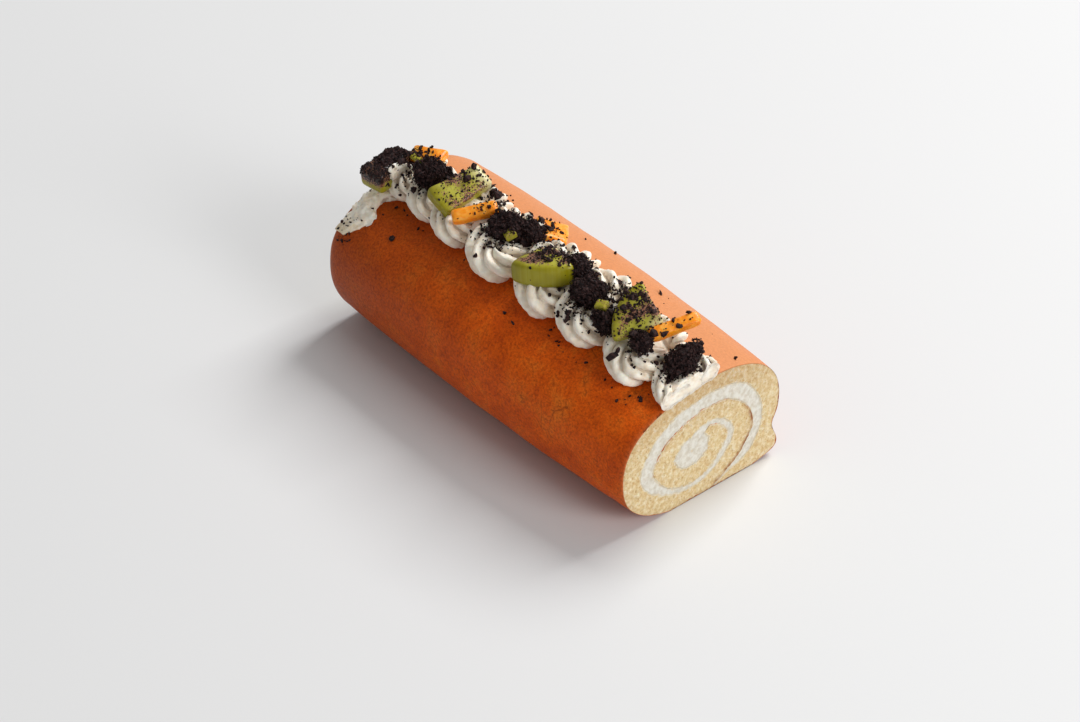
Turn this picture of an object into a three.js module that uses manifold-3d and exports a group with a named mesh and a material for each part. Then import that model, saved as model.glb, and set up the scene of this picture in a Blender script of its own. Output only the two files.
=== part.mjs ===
// Swiss roll cake: a sheet of sponge rolled up round a layer of cream, sliced at one
// end. A row of piped cream swirls runs along its top, dressed with wedges and bits of
// green fruit, strips of citrus fruit and heaps of dark biscuit crumbs.
//
// Millimetres, +Z up. X runs along the roll, with the sliced face at +X. The roll lies
// on z = 0, and the origin is under the middle of it.

import * as THREE from "three";
import { mergeVertices } from "three/addons/utils/BufferGeometryUtils.js";
import Module from "manifold-3d";

const wasm = await Module();
wasm.setup();

// ---------------------------------------------------------------- driving dimensions

const ROLL_LENGTH = 190;
const END = ROLL_LENGTH / 2;
// The roll is fullest in the middle and sags a little towards the sliced end.
const WIDTH = { sliced: 85.6, middle: 92, far: 86.5 };
const HEIGHT = { sliced: 58.1, middle: 65.2, far: 64.6 };
const BEND = 1.3; // how far both ends swing towards +Y from a straight axis
const FAR_ROUNDING = 6; // length of the rounded rim at the far end
const FAR_SHRINK = 0.03; // share by which that rim draws in
const STATIONS = [-95, -92.5, -85, -45, 0, 50, 95];

// Section at the sliced face: a superellipse about this height, squashed flat below.
const WAIST = 28.2;
const CROWN = HEIGHT.sliced - WAIST;
const SQUASH = 1.3; // how far the unsquashed section would reach below the plate
const ROUNDNESS = { crown: 2.32, left: 2.38, tail: 4.5 };
// Local dents and bulges of the section: angle round the waist, reach, spread.
const DENTS = [
  { angle: 128, reach: -1.8, spread: 28 }, // shoulder that the knife pressed down
  { angle: -17, reach: -3.2, spread: 8 }, // hollow above the loose tail of the sheet
  { angle: -29, reach: 3.4, spread: 7 }, // lip where the tail of the sheet splays out
];

// The spiral is measured from the core of the filling. Angles are in degrees and grow
// from the tail of the sheet, under the roll, inwards; each pair is an angle and a
// distance from the core, or a thickness.
const CORE = { y: -6, z: 25.5 };
const TAIL = -61; // where the outer end of the sheet lies
const COARSE = 10; // degrees between points of the section on the outer turn
const FINE = 15; // and on the inner turn
const TURN_END = TAIL + 360;
const CREAM_START = TAIL + 3 * COARSE; // the first cream beyond the dry tail
const SHEET_END = TURN_END + 7 * FINE; // where the inner end of the sheet lies
const LAST = SHEET_END + 360; // where the cream has closed round the core
const CREAM_REACH = [
  [-61, 28], [-45, 30], [-30, 35.5], [-12, 38.7], [15, 37.8], [35, 35], [60, 28.3],
  [90, 24], [120, 23.8], [150, 25.6], [180, 28], [210, 23.4], [240, 19.6], [270, 18.5],
  [300, 19.5], [330, 20.8], [355, 23], [385, 19.2], [420, 11.9], [445, 8], [495, 7.8],
  [540, 9.1], [585, 7.8], [630, 6.9], [675, 8.2], [720, 9], [767, 9.4],
];
const CREAM_THICKNESS = [
  [-61, 0.2], [-45, 1.2], [-30, 4.6], [0, 5], [30, 7.8], [60, 6.8], [120, 7],
  [180, 6.8], [210, 4.7], [240, 2.7], [290, 2.2], [345, 3.3], [390, 3.4], [410, 2.8],
];
const SEAM = 0.3; // gap between touching pieces
const SLIT = 0.7; // degrees between the tail's edge and the turn above it

// A swirl is one loop of cream from a star nozzle, piped onto the roll's top. `span` is
// its reach along the roll, `front` and `back` its reach to either side of the row's
// middle, `tall` its height over the sponge and `turn` how far round it starts.
const ROW = -3; // y of the middle of the row
const CREAM_RADIUS = 0.52; // of the squeezed cream, as a share of a swirl's height
const CREAM_LIFT = 0.44; // height of its middle over the sponge, as the same share
const CREAM_INSET = 0.8; // its middle is this many radii inside the swirl's reach
const TIP_SHARE = 0.63; // of a loop's span lies between its far edge and its front tip
const NOZZLE_RIDGES = 5;
const RIDGE_DEPTH = 0.2; // depth of the grooves as a share of the cream's radius
const SWIRL_STEPS = 13;
const LOOP_START = 18; // degrees from +X, seen from above, where the nozzle starts
const LOOP_TURN = 325; // how far round it goes
const TWIST = 7; // radians by which the ridges wind round the cream on the way
const TAPER = { tip: 0.5, rate: 6 }; // radius at both ends of the loop, and its growth
// The mound inside a loop, as shares of the swirl's span, depth and height.
const MOUND = { along: 0.38, across: 0.85, up: 0.85, around: 8, rings: 5 };
const SKIN_GAP = 0.45; // gap to the sponge under the cream
const SWIRLS = [
  { x: -76, span: 25, front: 13.5, back: 12, tall: 12, turn: 8 },
  { x: -58, span: 27, front: 16, back: 10.5, tall: 13, turn: -6 },
  { x: -38, span: 31, front: 18.5, back: 12.5, tall: 14, turn: 4 },
  { x: -10.5, span: 34, front: 22, back: 10.5, tall: 15, turn: 10 },
  { x: 20, span: 33, front: 22.3, back: 11.5, tall: 15, turn: -4 },
  { x: 44.5, span: 33, front: 21.3, back: 13, tall: 15, turn: 6 },
  { x: 72, span: 30, front: 21.5, back: 11, tall: 13, turn: 14 },
  { x: 97, span: 31, front: 18, back: 11, tall: 8.5, turn: 2 },
];
// Cream that ran from the first swirl down the front of the far rim.
const SMEAR = [
  { x: -82.5, y: -10, wide: 10.5, thick: 5 },
  { x: -87, y: -17.5, wide: 6.3, thick: 4 },
  { x: -87.3, y: -23.4, wide: 5.7, thick: 3 },
  { x: -85.6, y: -28, wide: 7, thick: 2.4 },
  { x: -87, y: -33, wide: 5.8, thick: 1.6 },
  { x: -91.5, y: -37.5, wide: 3, thick: 0.9 },
];

// Fruit: `at` is the middle of a piece, `face` looks out of its cut face, and `long`
// points from a wedge's tip to its rim, or along a strip.
const WEDGES = [
  { at: [-85.5, -15.2, 74], face: [0, -0.08, 1], long: [0.15, -1, -0.05],
    radius: 61, tip: 39, open: 12, thick: 11 },
  { at: [-46.2, -7.5, 79.8], face: [0.42, -0.2, 0.88], long: [-0.06, -1, -0.16],
    radius: 97, tip: 72, open: 8.5, thick: 8 },
  { at: [16.5, -14.8, 77.6], face: [-0.11, 0.01, 1], long: [0.6, -0.8, 0],
    radius: 23.5, tip: 6, open: 70, thick: 11 },
  { at: [66.2, -9.2, 78.4], face: [0.5, -0.42, 0.76], long: [-0.55, -0.4, 0.3],
    radius: 22, tip: 3, open: 75, thick: 6.5 },
];
const STRIPS = [
  { at: [-78.5, 1.5, 77], face: [0, -0.2, 1], long: [0.9, 0.44, 0], size: [16, 8, 5] },
  { at: [-30.5, -13, 79.2], face: [0.2, -0.4, 0.9], long: [10.8, 16.2, 2],
    size: [19.5, 6.2, 5] },
  { at: [-5, 7, 74.3], face: [0.1, 0.25, 0.96], long: [0.7, 0.7, 0], size: [14, 15, 4] },
  { at: [79, -1.8, 77], face: [0.3, -0.3, 0.9], long: [6.5, 19.2, 2.5],
    size: [21.5, 5.4, 5] },
];
const BITS = [
  { at: [-71.8, -8.5, 82.5], face: [0, 0, 1], long: [1, 0, -0.45], size: [12, 2.6, 2] },
  { at: [-8.8, -12, 79.5], face: [0, -0.4, 1], long: [0.3, 1, 0], size: [5, 4, 4] },
  { at: [52.2, -16, 79.2], face: [0, -0.4, 1], long: [1, 0.4, 0], size: [5, 4, 4] },
];

// Heaps of biscuit crumbs: lobes that run together, each a middle and three radii.
const HEAPS = [
  [{ at: [-64, -8, 78.5], size: [9, 8.5, 6.5] }],
  [{ at: [-15, -8.5, 78.5], size: [8, 8, 6] }, { at: [-5.5, -3, 78], size: [6, 5, 4.5] }],
  [{ at: [26.5, -6.8, 78.6], size: [5.8, 6, 5] }, { at: [39.6, -12, 77.5], size: [8.2, 7.5, 6] }],
  [{ at: [55, -16.2, 73.3], size: [6.8, 5.5, 5.5] }],
  [{ at: [74.2, -14.6, 73.7], size: [3.8, 3.8, 5.5] }],
  [{ at: [87.7, -4.6, 66.6], size: [5.5, 9.5, 7.5] }],
];
const HEAP_CRUMBS = 9; // loose crumbs that stand out of each lobe
const CRUMB = 1.5; // usual radius of a crumb
// Single crumbs on the sponge: x, y and radius.
const SKIN_CRUMBS = [
  [-63.4, -30.9, 2.2], [15.2, -30.9, 1.6], [8.5, -29.5, 1.2], [90.3, 21.7, 1.6],
  [40.9, 26.9, 1.6], [28, 19.5, 1.8], [6.2, 33, 1.5], [76.3, -29.1, 1.4], [83.6, -23, 1.7],
];
// Flakes that stick to the front of each swirl: how many, and where on the cream, as
// a share of the way along the loop and as radians round the cream.
const FLAKES = { count: 2, from: 0.42, over: 0.2, lowest: 0.5, range: 0.9 };
const GOLDEN_TURN = 2.4; // radians between crumbs, so that they never line up

// ---------------------------------------------------------------- small helpers

const radians = (degrees) => (degrees * Math.PI) / 180;

// A smooth curve through pairs of an angle and a value.
function smooth(pairs) {
  const curve = new THREE.CubicInterpolant(
    pairs.map((pair) => pair[0]),
    pairs.map((pair) => pair[1]),
    1,
  );
  return (angle) => curve.evaluate(angle)[0];
}

// Repeatable random numbers from 0 to 1.
function dice(seed) {
  let state = seed;
  return () => {
    state = (state * 1664525 + 1013904223) % 4294967296;
    return state / 4294967296;
  };
}

function solidOf(geometry) {
  const bare = geometry.clone();
  bare.deleteAttribute("normal");
  bare.deleteAttribute("uv");
  const merged = mergeVertices(bare, 1e-4);
  return new wasm.Manifold(
    new wasm.Mesh({
      numProp: 3,
      vertProperties: new Float32Array(merged.attributes.position.array),
      triVerts: new Uint32Array(merged.index.array),
    }),
  );
}

function geometryOf(solid) {
  const mesh = solid.getMesh();
  const geometry = new THREE.BufferGeometry();
  geometry.setAttribute(
    "position",
    new THREE.BufferAttribute(new Float32Array(mesh.vertProperties), 3),
  );
  geometry.setIndex(new THREE.BufferAttribute(new Uint32Array(mesh.triVerts), 1));
  geometry.computeVertexNormals();
  return geometry;
}

// A closed skin over a row of closed rings of points, fanned shut at both ends.
function loft(rings) {
  const around = rings[0].length;
  const middle = (ring) =>
    ring.reduce((sum, p) => sum.add(p), new THREE.Vector3()).divideScalar(around);
  const points = [middle(rings[0]), ...rings.flat(), middle(rings.at(-1))];
  const index = [];
  for (let i = 0; i < around; i++) {
    const next = (i + 1) % around;
    index.push(0, 1 + next, 1 + i);
    for (let r = 0; r < rings.length - 1; r++) {
      const a = 1 + r * around;
      const b = a + around;
      index.push(a + i, a + next, b + next, a + i, b + next, b + i);
    }
    const last = 1 + (rings.length - 1) * around;
    index.push(points.length - 1, last + i, last + next);
  }
  return new THREE.BufferGeometry().setFromPoints(points).setIndex(index);
}

// ---------------------------------------------------------------- the roll

// A measure of the roll at x, by a parabola through its three stated values.
function along(measure, x) {
  const u = x / END;
  return (
    measure.middle * (1 - u * u) +
    (measure.sliced * u * (u + 1)) / 2 +
    (measure.far * u * (u - 1)) / 2
  );
}

// Distance from the waist's middle to the section's outline.
function outlineReach(angle) {
  const c = Math.cos(angle);
  const s = Math.sin(angle);
  const power = s >= 0 ? ROUNDNESS.crown : c > 0 ? ROUNDNESS.tail : ROUNDNESS.left;
  const tall = s >= 0 ? CROWN : WAIST + SQUASH;
  const wide = WIDTH.sliced / 2;
  let reach =
    (Math.abs(c / wide) ** power + Math.abs(s / tall) ** power) ** (-1 / power);
  for (const dent of DENTS) {
    const off = Math.atan2(
      Math.sin(angle - radians(dent.angle)),
      Math.cos(angle - radians(dent.angle)),
    );
    reach += dent.reach * Math.exp(-((off / radians(dent.spread)) ** 2));
  }
  return s < 0 ? Math.min(reach, WAIST / -s) : reach;
}

// Distance from the core of the filling to the outline, found by halving.
function reachFromCore(angle) {
  let inside = 0;
  let outside = WIDTH.sliced;
  while (outside - inside > 1e-4) {
    const middle = (inside + outside) / 2;
    const y = CORE.y + middle * Math.cos(angle);
    const z = CORE.z + middle * Math.sin(angle);
    const within = Math.hypot(y, z - WAIST) < outlineReach(Math.atan2(z - WAIST, y));
    if (within) inside = middle;
    else outside = middle;
  }
  return inside;
}

// Distances from the core to the outer and the inner side of the cream layer.
const creamOuter = smooth(CREAM_REACH);
const creamThickness = smooth(CREAM_THICKNESS);
const creamInner = (angle) => creamOuter(angle) - creamThickness(angle);

function fromCore(angle, reach) {
  const turn = radians(angle);
  return new THREE.Vector2(
    CORE.y + reach * Math.cos(turn),
    CORE.z + reach * Math.sin(turn),
  );
}

// Points at a side of the cream from one angle to another; `shift` moves them outwards.
function spiralSide(side, from, to, step, shift) {
  const count = Math.round(Math.abs(to - from) / step);
  return Array.from({ length: count + 1 }, (_, i) => {
    const angle = from + ((to - from) * i) / count;
    return fromCore(angle, side(angle) + shift);
  });
}

function spongeSection() {
  return new THREE.Shape([
    ...spiralSide((a) => reachFromCore(radians(a)), TAIL, TURN_END - SLIT, COARSE, 0),
    ...spiralSide(creamInner, TAIL, TURN_END, COARSE, -SEAM / 2),
    ...spiralSide(creamInner, TURN_END + FINE, SHEET_END, FINE, -SEAM / 2),
    ...spiralSide(creamOuter, LAST, TURN_END, FINE, SEAM / 2),
    ...spiralSide(creamOuter, TURN_END - COARSE, TAIL, COARSE, SEAM / 2),
  ]);
}

function creamSection() {
  const tip = 4; // degrees by which the cream stays clear of the sheet's inner end
  return new THREE.Shape([
    ...spiralSide(creamOuter, CREAM_START, TURN_END, COARSE, -SEAM / 2),
    ...spiralSide(creamOuter, TURN_END + FINE, LAST, FINE, -SEAM / 2),
    fromCore(SHEET_END + tip, creamOuter(LAST) - SEAM / 2),
    fromCore(SHEET_END + tip, creamInner(SHEET_END) + SEAM / 2),
    ...spiralSide(creamInner, SHEET_END, TURN_END, FINE, SEAM / 2),
    ...spiralSide(creamInner, TURN_END - COARSE, CREAM_START, COARSE, SEAM / 2),
  ]);
}

// Carries a point of the sliced face's section to the section at x.
function onRoll(x, y, z) {
  const wide = along(WIDTH, x) / WIDTH.sliced;
  const tall = along(HEIGHT, x) / HEIGHT.sliced;
  const depth = Math.max(0, x + END < FAR_ROUNDING ? 1 - (x + END) / FAR_ROUNDING : 0);
  const draw = 1 - FAR_SHRINK * depth * depth;
  const u = x / END;
  return new THREE.Vector3(
    x,
    y * wide * draw + BEND * u * u,
    WAIST * tall + (z - WAIST) * tall * draw,
  );
}

// Extrudes a section the length of the roll and swells it to the roll's shape.
function rollSolid(shape) {
  const geometry = new THREE.ExtrudeGeometry(shape, {
    depth: STATIONS.length - 1,
    steps: STATIONS.length - 1,
    bevelEnabled: false,
  });
  const position = geometry.attributes.position;
  for (let i = 0; i < position.count; i++) {
    const x = STATIONS[Math.round(position.getZ(i))];
    const p = onRoll(x, position.getX(i), position.getY(i));
    position.setXYZ(i, p.x, p.y, p.z);
  }
  return solidOf(geometry);
}

// The uncut outline of the roll, grown by `grow`, for fitting what lies on it.
function rollBlank(grow) {
  const reach = (angle) => reachFromCore(radians(angle));
  return rollSolid(new THREE.Shape(spiralSide(reach, TAIL, TURN_END - SLIT, COARSE, grow)));
}

// Height of the roll's skin over a point of its plan, and the skin's upward direction.
function skinHeight(x, y) {
  const u = x / END;
  const wide = along(WIDTH, x) / WIDTH.sliced;
  const tall = along(HEIGHT, x) / HEIGHT.sliced;
  const flat = (y - BEND * u * u) / wide;
  let low = 0;
  let high = HEIGHT.sliced;
  while (high - low > 1e-3) {
    const z = (low + high) / 2;
    if (Math.hypot(flat, z) < outlineReach(Math.atan2(z, flat))) low = z;
    else high = z;
  }
  return (WAIST + low) * tall;
}

function skinNormal(x, y) {
  const step = 1;
  const slopeX = (skinHeight(x + step, y) - skinHeight(x - step, y)) / (2 * step);
  const slopeY = (skinHeight(x, y + step) - skinHeight(x, y - step)) / (2 * step);
  return new THREE.Vector3(-slopeX, -slopeY, 1).normalize();
}

// ---------------------------------------------------------------- piped cream

// Lifts a point that would be inside the roll onto its skin.
function ontoSkin(point) {
  const floor = skinHeight(point.x, point.y) + SKIN_GAP;
  return point.setZ(Math.max(point.z, floor));
}

// Middle of the cream as the nozzle goes round, `t` from 0 to 1, and its thickness.
function swirlPath(swirl, t) {
  const angle = radians(LOOP_START + swirl.turn + LOOP_TURN * t);
  const thick = swirl.tall * CREAM_RADIUS;
  const inset = thick * CREAM_INSET;
  const sideways = Math.sin(angle) < 0 ? swirl.front : swirl.back;
  const lengthways = swirl.span * (Math.cos(angle) < 0 ? TIP_SHARE : 1 - TIP_SHARE);
  const x = swirl.x + (lengthways - inset) * Math.cos(angle);
  const y = ROW + (sideways - inset) * Math.sin(angle);
  return { x, y, lift: swirl.tall * CREAM_LIFT, thick };
}

// A point of the cream: `turn` goes round it, `out` is a share of its radius.
function swirlPoint(swirl, t, turn, out, grow) {
  const step = 0.02;
  const here = swirlPath(swirl, t);
  const before = swirlPath(swirl, t - step);
  const after = swirlPath(swirl, t + step);
  const up = skinNormal(here.x, here.y);
  const forward = new THREE.Vector3(after.x - before.x, after.y - before.y, 0);
  const side = new THREE.Vector3().crossVectors(up, forward).normalize();
  const radius = here.thick * out + grow;
  return ontoSkin(
    new THREE.Vector3(here.x, here.y, skinHeight(here.x, here.y))
      .addScaledVector(up, here.lift + radius * Math.sin(turn))
      .addScaledVector(side, radius * Math.cos(turn)),
  );
}

// The loop of ridged cream, and the soft mound that fills its middle.
function swirlSolid(swirl, grow) {
  const around = NOZZLE_RIDGES * 2;
  const rings = [];
  for (let step = 0; step <= SWIRL_STEPS; step++) {
    const t = step / SWIRL_STEPS;
    const ends = Math.min(1, TAPER.tip + TAPER.rate * Math.min(t, 1 - t));
    const ring = [];
    for (let i = 0; i < around; i++) {
      const turn = (i / around) * 2 * Math.PI + t * TWIST;
      const crest = i % 2 ? 1 - RIDGE_DEPTH : 1;
      ring.push(swirlPoint(swirl, t, turn, crest * ends, grow));
    }
    rings.push(ring);
  }
  const mound = new THREE.SphereGeometry(1, MOUND.around, MOUND.rings);
  const deep = (swirl.front + swirl.back) / 2;
  const x = swirl.x - swirl.span * (TIP_SHARE - 0.5);
  const y = ROW + (swirl.back - swirl.front) / 2;
  mound.rotateX(Math.PI / 2);
  mound.scale(swirl.span * MOUND.along, deep * MOUND.across, swirl.tall * MOUND.up);
  mound.translate(x, y, skinHeight(x, y));
  const position = mound.attributes.position;
  for (let i = 0; i < position.count; i++) {
    const p = ontoSkin(new THREE.Vector3().fromBufferAttribute(position, i));
    position.setXYZ(i, p.x, p.y, p.z);
  }
  return solidOf(loft(rings)).add(solidOf(mound));
}

// A flat-bottomed tongue of cream that follows the skin through the smear's points.
function smearSolid() {
  const around = 8;
  const rings = SMEAR.map((spot) => {
    const up = skinNormal(spot.x, spot.y);
    const side = new THREE.Vector3(1, 0, 0).addScaledVector(up, -up.x).normalize();
    const middle = new THREE.Vector3(spot.x, spot.y, skinHeight(spot.x, spot.y));
    return Array.from({ length: around }, (_, i) => {
      const turn = (i / around) * 2 * Math.PI;
      return ontoSkin(
        middle
          .clone()
          .addScaledVector(side, spot.wide * Math.cos(turn))
          .addScaledVector(up, spot.thick * Math.sin(turn)),
      );
    });
  });
  return solidOf(loft(rings));
}

// ---------------------------------------------------------------- fruit and crumbs

// Turns a shape drawn flat round the origin so that it lies as `piece` says.
function lay(geometry, piece) {
  const face = new THREE.Vector3(...piece.face).normalize();
  const across = new THREE.Vector3()
    .crossVectors(face, new THREE.Vector3(...piece.long))
    .normalize();
  const along = new THREE.Vector3().crossVectors(across, face);
  const turned = new THREE.Matrix4().makeBasis(along, across, face);
  return geometry.applyMatrix4(turned.setPosition(...piece.at));
}

// A slab with softened edges, `grow` larger all round.
function slab(shape, thick, grow) {
  const soft = 0.9;
  const geometry = new THREE.ExtrudeGeometry(shape, {
    depth: thick - 2 * soft + 2 * grow,
    bevelThickness: soft,
    bevelSize: soft,
    bevelOffset: grow - soft,
    bevelSegments: 1,
    curveSegments: 7,
  });
  return geometry.translate(0, 0, soft - thick / 2 - grow);
}

// A piece of a round slice: a sector whose tip is cut off, its rim the fruit's outside.
function wedgeSolid(piece, grow) {
  const half = radians(piece.open) / 2;
  const middle = (piece.radius + piece.tip) / 2;
  const shape = new THREE.Shape();
  shape.absarc(-middle, 0, piece.radius, -half, half, false);
  shape.lineTo(piece.tip * Math.cos(half) - middle, piece.tip * Math.sin(half));
  shape.lineTo(piece.tip * Math.cos(half) - middle, -piece.tip * Math.sin(half));
  shape.closePath();
  return solidOf(lay(slab(shape, piece.thick, grow), piece));
}

// A cut strip or bit of fruit: a slightly skewed block.
function stripSolid(piece, grow) {
  const [long, wide, thick] = piece.size;
  const skew = 0.12 * wide;
  const shape = new THREE.Shape([
    new THREE.Vector2(-long / 2, -wide / 2 + skew),
    new THREE.Vector2(long / 2, -wide / 2),
    new THREE.Vector2(long / 2 - skew, wide / 2),
    new THREE.Vector2(-long / 2 + skew, wide / 2 - skew),
  ]);
  return solidOf(lay(slab(shape, thick, grow), piece));
}

// A lump with a gentle swell and dip over it.
function lumpGeometry(size, at, grow) {
  const bump = 0.1;
  const geometry = new THREE.SphereGeometry(1, 9, 5);
  const position = geometry.attributes.position;
  const p = new THREE.Vector3();
  for (let i = 0; i < position.count; i++) {
    p.fromBufferAttribute(position, i);
    const swell = 1 + bump * Math.sin(4 * p.x + at[0]) * Math.cos(5 * p.y + 3 * p.z);
    position.setXYZ(
      i,
      at[0] + p.x * (size[0] * swell + grow),
      at[1] + p.y * (size[1] * swell + grow),
      at[2] + p.z * (size[2] * swell + grow),
    );
  }
  return geometry;
}

function heapSolid(lobes, grow) {
  return lobes
    .map((lobe) => solidOf(lumpGeometry(lobe.size, lobe.at, grow)))
    .reduce((all, lobe) => all.add(lobe));
}

// A crumb: a stretched octahedron, turned at random.
function crumbSolid(at, radius, roll) {
  const geometry = new THREE.OctahedronGeometry(radius);
  geometry.scale(1.1, 0.8 + 0.3 * roll(), 0.7 + 0.3 * roll());
  geometry.rotateX(roll() * 6).rotateZ(roll() * 6);
  return solidOf(geometry.translate(...at));
}

// ---------------------------------------------------------------- fitting

const largest = (solid) =>
  solid.decompose().sort((a, b) => b.volume() - a.volume())[0];

const touches = (a, b) => !a.intersect(b).isEmpty();

// Pieces are fitted in turn: each is cut clear of the roll and of those before it.
const blank = rollBlank(SEAM);
const placed = [];

function fit(name, make) {
  let solid = make(0);
  for (const room of [blank, ...placed.map((other) => other.room)])
    if (touches(solid, room)) solid = solid.subtract(room);
  const piece = { name, solid: largest(solid), room: make(SEAM) };
  placed.push(piece);
  return piece;
}

const wedges = WEDGES.map((piece, i) =>
  fit(`green_fruit_wedge_${i + 1}`, (grow) => wedgeSolid(piece, grow)),
);
const strips = STRIPS.map((piece, i) =>
  fit(`citrus_strip_${i + 1}`, (grow) => stripSolid(piece, grow)),
);
const bits = BITS.map((piece, i) =>
  fit(`green_fruit_bit_${i + 1}`, (grow) => stripSolid(piece, grow)),
);
const heaps = HEAPS.map((lobes, i) =>
  fit(`crumb_heap_${i + 1}`, (grow) => heapSolid(lobes, grow)),
);
// The last swirl is on top of the one before it, and so on to the far end. The knife
// sliced it with the roll.
const beyond = solidOf(
  new THREE.BoxGeometry(END, ROLL_LENGTH, ROLL_LENGTH).translate(END * 1.5, 0, 0),
);
const swirls = [];
for (let i = SWIRLS.length - 1; i >= 0; i--) {
  const make = (grow) => {
    const solid = swirlSolid(SWIRLS[i], grow);
    return i === 0 ? solid.add(smearSolid()) : solid.subtract(beyond);
  };
  swirls.unshift(fit(`cream_swirl_${i + 1}`, make));
}

// Crumbs are pressed into a piece where they are clear of all the others.
function press(piece, at, radius, roll) {
  const crumb = crumbSolid(at, radius, roll);
  if (!touches(crumb, piece.solid)) return;
  const clash = placed.some((other) => other !== piece && touches(crumb, other.solid));
  if (clash || (piece.name !== "sponge" && touches(crumb, blank))) return;
  piece.solid = largest(piece.solid.add(crumb));
}

heaps.forEach((heap, i) => {
  const roll = dice(11 + i);
  for (const lobe of HEAPS[i]) {
    for (let n = 0; n < HEAP_CRUMBS; n++) {
      const up = 0.1 + 0.85 * (n / HEAP_CRUMBS);
      const turn = n * GOLDEN_TURN + roll();
      const ring = Math.sqrt(1 - up * up);
      const at = [
        lobe.at[0] + lobe.size[0] * ring * Math.cos(turn),
        lobe.at[1] + lobe.size[1] * ring * Math.sin(turn),
        lobe.at[2] + lobe.size[2] * up,
      ];
      press(heap, at, CRUMB * (0.8 + 0.6 * roll()), roll);
    }
  }
});

swirls.forEach((swirl, i) => {
  const roll = dice(41 + i);
  for (let n = 0; n < FLAKES.count; n++) {
    const t = FLAKES.from + (FLAKES.over * (n + roll())) / FLAKES.count;
    const at = swirlPoint(SWIRLS[i], t, FLAKES.lowest + FLAKES.range * roll(), 1, 0);
    press(swirl, at.toArray(), CRUMB * (0.7 + 0.4 * roll()), roll);
  }
});

const sponge = { name: "sponge", solid: rollSolid(spongeSection()) };
SKIN_CRUMBS.forEach(([x, y, radius], i) => {
  const at = [x, y, skinHeight(x, y) + radius * 0.2];
  press(sponge, at, radius, dice(71 + i));
});
const filling = { name: "cream_filling", solid: rollSolid(creamSection()) };

// ---------------------------------------------------------------- the model

const cake = new THREE.Group();

function add(pieces, colour, roughness) {
  for (const piece of pieces) {
    const material = new THREE.MeshStandardMaterial({ color: colour, roughness });
    const mesh = new THREE.Mesh(geometryOf(piece.solid), material);
    mesh.name = piece.name;
    cake.add(mesh);
  }
}

add([sponge], "#b5652f", 0.8);
add([filling], "#e3e0d6", 0.55);
add(swirls, "#efe9dd", 0.45);
add(wedges, "#93a83c", 0.35);
add(strips, "#f08c1e", 0.4);
add(bits, "#a3b04a", 0.35);
add(heaps, "#241318", 0.9);

export default cake;
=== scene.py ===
# %% [markdown]
# # A swiss roll cake
# A swiss roll is a thin sponge sheet spread with cream and rolled up. This one is sliced
# at one end, so the spiral shows, and along its top runs a row of piped cream swirls with
# pieces of green fruit, strips of citrus fruit and heaps of dark biscuit crumbs.
#
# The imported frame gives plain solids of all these. They could be shown with better
# materials, but food is soft, ragged and full of small things, so each solid is replaced
# by a finer surface of the same form, worked out here with numpy.

import math

import bmesh
import bpy
import numpy as np
from mathutils import Matrix, Vector
from mathutils.bvhtree import BVHTree


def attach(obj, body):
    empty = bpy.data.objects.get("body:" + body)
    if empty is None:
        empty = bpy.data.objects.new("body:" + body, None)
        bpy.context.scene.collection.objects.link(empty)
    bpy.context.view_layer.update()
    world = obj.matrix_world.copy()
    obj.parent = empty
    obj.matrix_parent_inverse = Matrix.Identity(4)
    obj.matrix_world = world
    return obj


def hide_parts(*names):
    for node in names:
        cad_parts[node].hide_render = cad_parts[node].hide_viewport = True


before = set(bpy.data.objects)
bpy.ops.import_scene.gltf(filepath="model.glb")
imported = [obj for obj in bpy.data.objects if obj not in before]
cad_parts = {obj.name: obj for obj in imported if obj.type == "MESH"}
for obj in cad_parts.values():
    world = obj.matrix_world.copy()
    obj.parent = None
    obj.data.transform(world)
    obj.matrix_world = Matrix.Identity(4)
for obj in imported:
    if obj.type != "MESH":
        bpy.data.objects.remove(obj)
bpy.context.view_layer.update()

# %% [markdown]
# ## Camera, light and floor
# A camera can be aimed with a Track To constraint, or given its axes as a matrix. The
# matrix is used, because the view is known by its two angles and a slight roll: a long
# lens looks down at the cake from its front right.

# %% Camera
MM = 0.001
PICTURE_WIDTH = 1080  # pixels that the focal length is counted in
FOCAL_LENGTH = 2954.3  # in those pixels
SENSOR_WIDTH = 36  # mm
VIEW_AZIMUTH = 48.95  # degrees round from looking along +Y
VIEW_ELEVATION = 37.16
VIEW_ROLL = 0.436
VIEW_FROM = Vector((748.8, -655.0, 767.7)) * MM

scene = bpy.context.scene
azimuth, elevation, roll = map(math.radians, (VIEW_AZIMUTH, VIEW_ELEVATION, VIEW_ROLL))
along_floor = Vector((math.sin(azimuth), -math.cos(azimuth), 0))
back = along_floor * math.cos(elevation) + Vector((0, 0, math.sin(elevation)))
level = Vector((math.cos(azimuth), math.sin(azimuth), 0))
upward = back.cross(level)
right = level * math.cos(roll) + upward * math.sin(roll)
up = upward * math.cos(roll) - level * math.sin(roll)

lens = bpy.data.cameras.new("camera")
lens.sensor_width = SENSOR_WIDTH
lens.lens = FOCAL_LENGTH / PICTURE_WIDTH * SENSOR_WIDTH
camera = bpy.data.objects.new("camera", lens)
axes = Matrix((right, up, back)).transposed().to_4x4()
camera.matrix_world = Matrix.Translation(VIEW_FROM) @ axes
scene.collection.objects.link(camera)
scene.camera = camera
print("lens", round(lens.lens, 1), "mm")

# %% [markdown]
# ## Colours and materials
# Materials take their colours as linear light, but colours are picked as sRGB hex values,
# so one function turns the one into the other. A material is a graph of nodes. It could
# be wired by hand in the editor, but one small function that adds a node together with
# its settings and links keeps each material short enough to read.

# %% Colour and node helpers
UNDER, OVER = 6, 7  # a Mix node's inputs for the colour below and for the one laid over it


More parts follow.
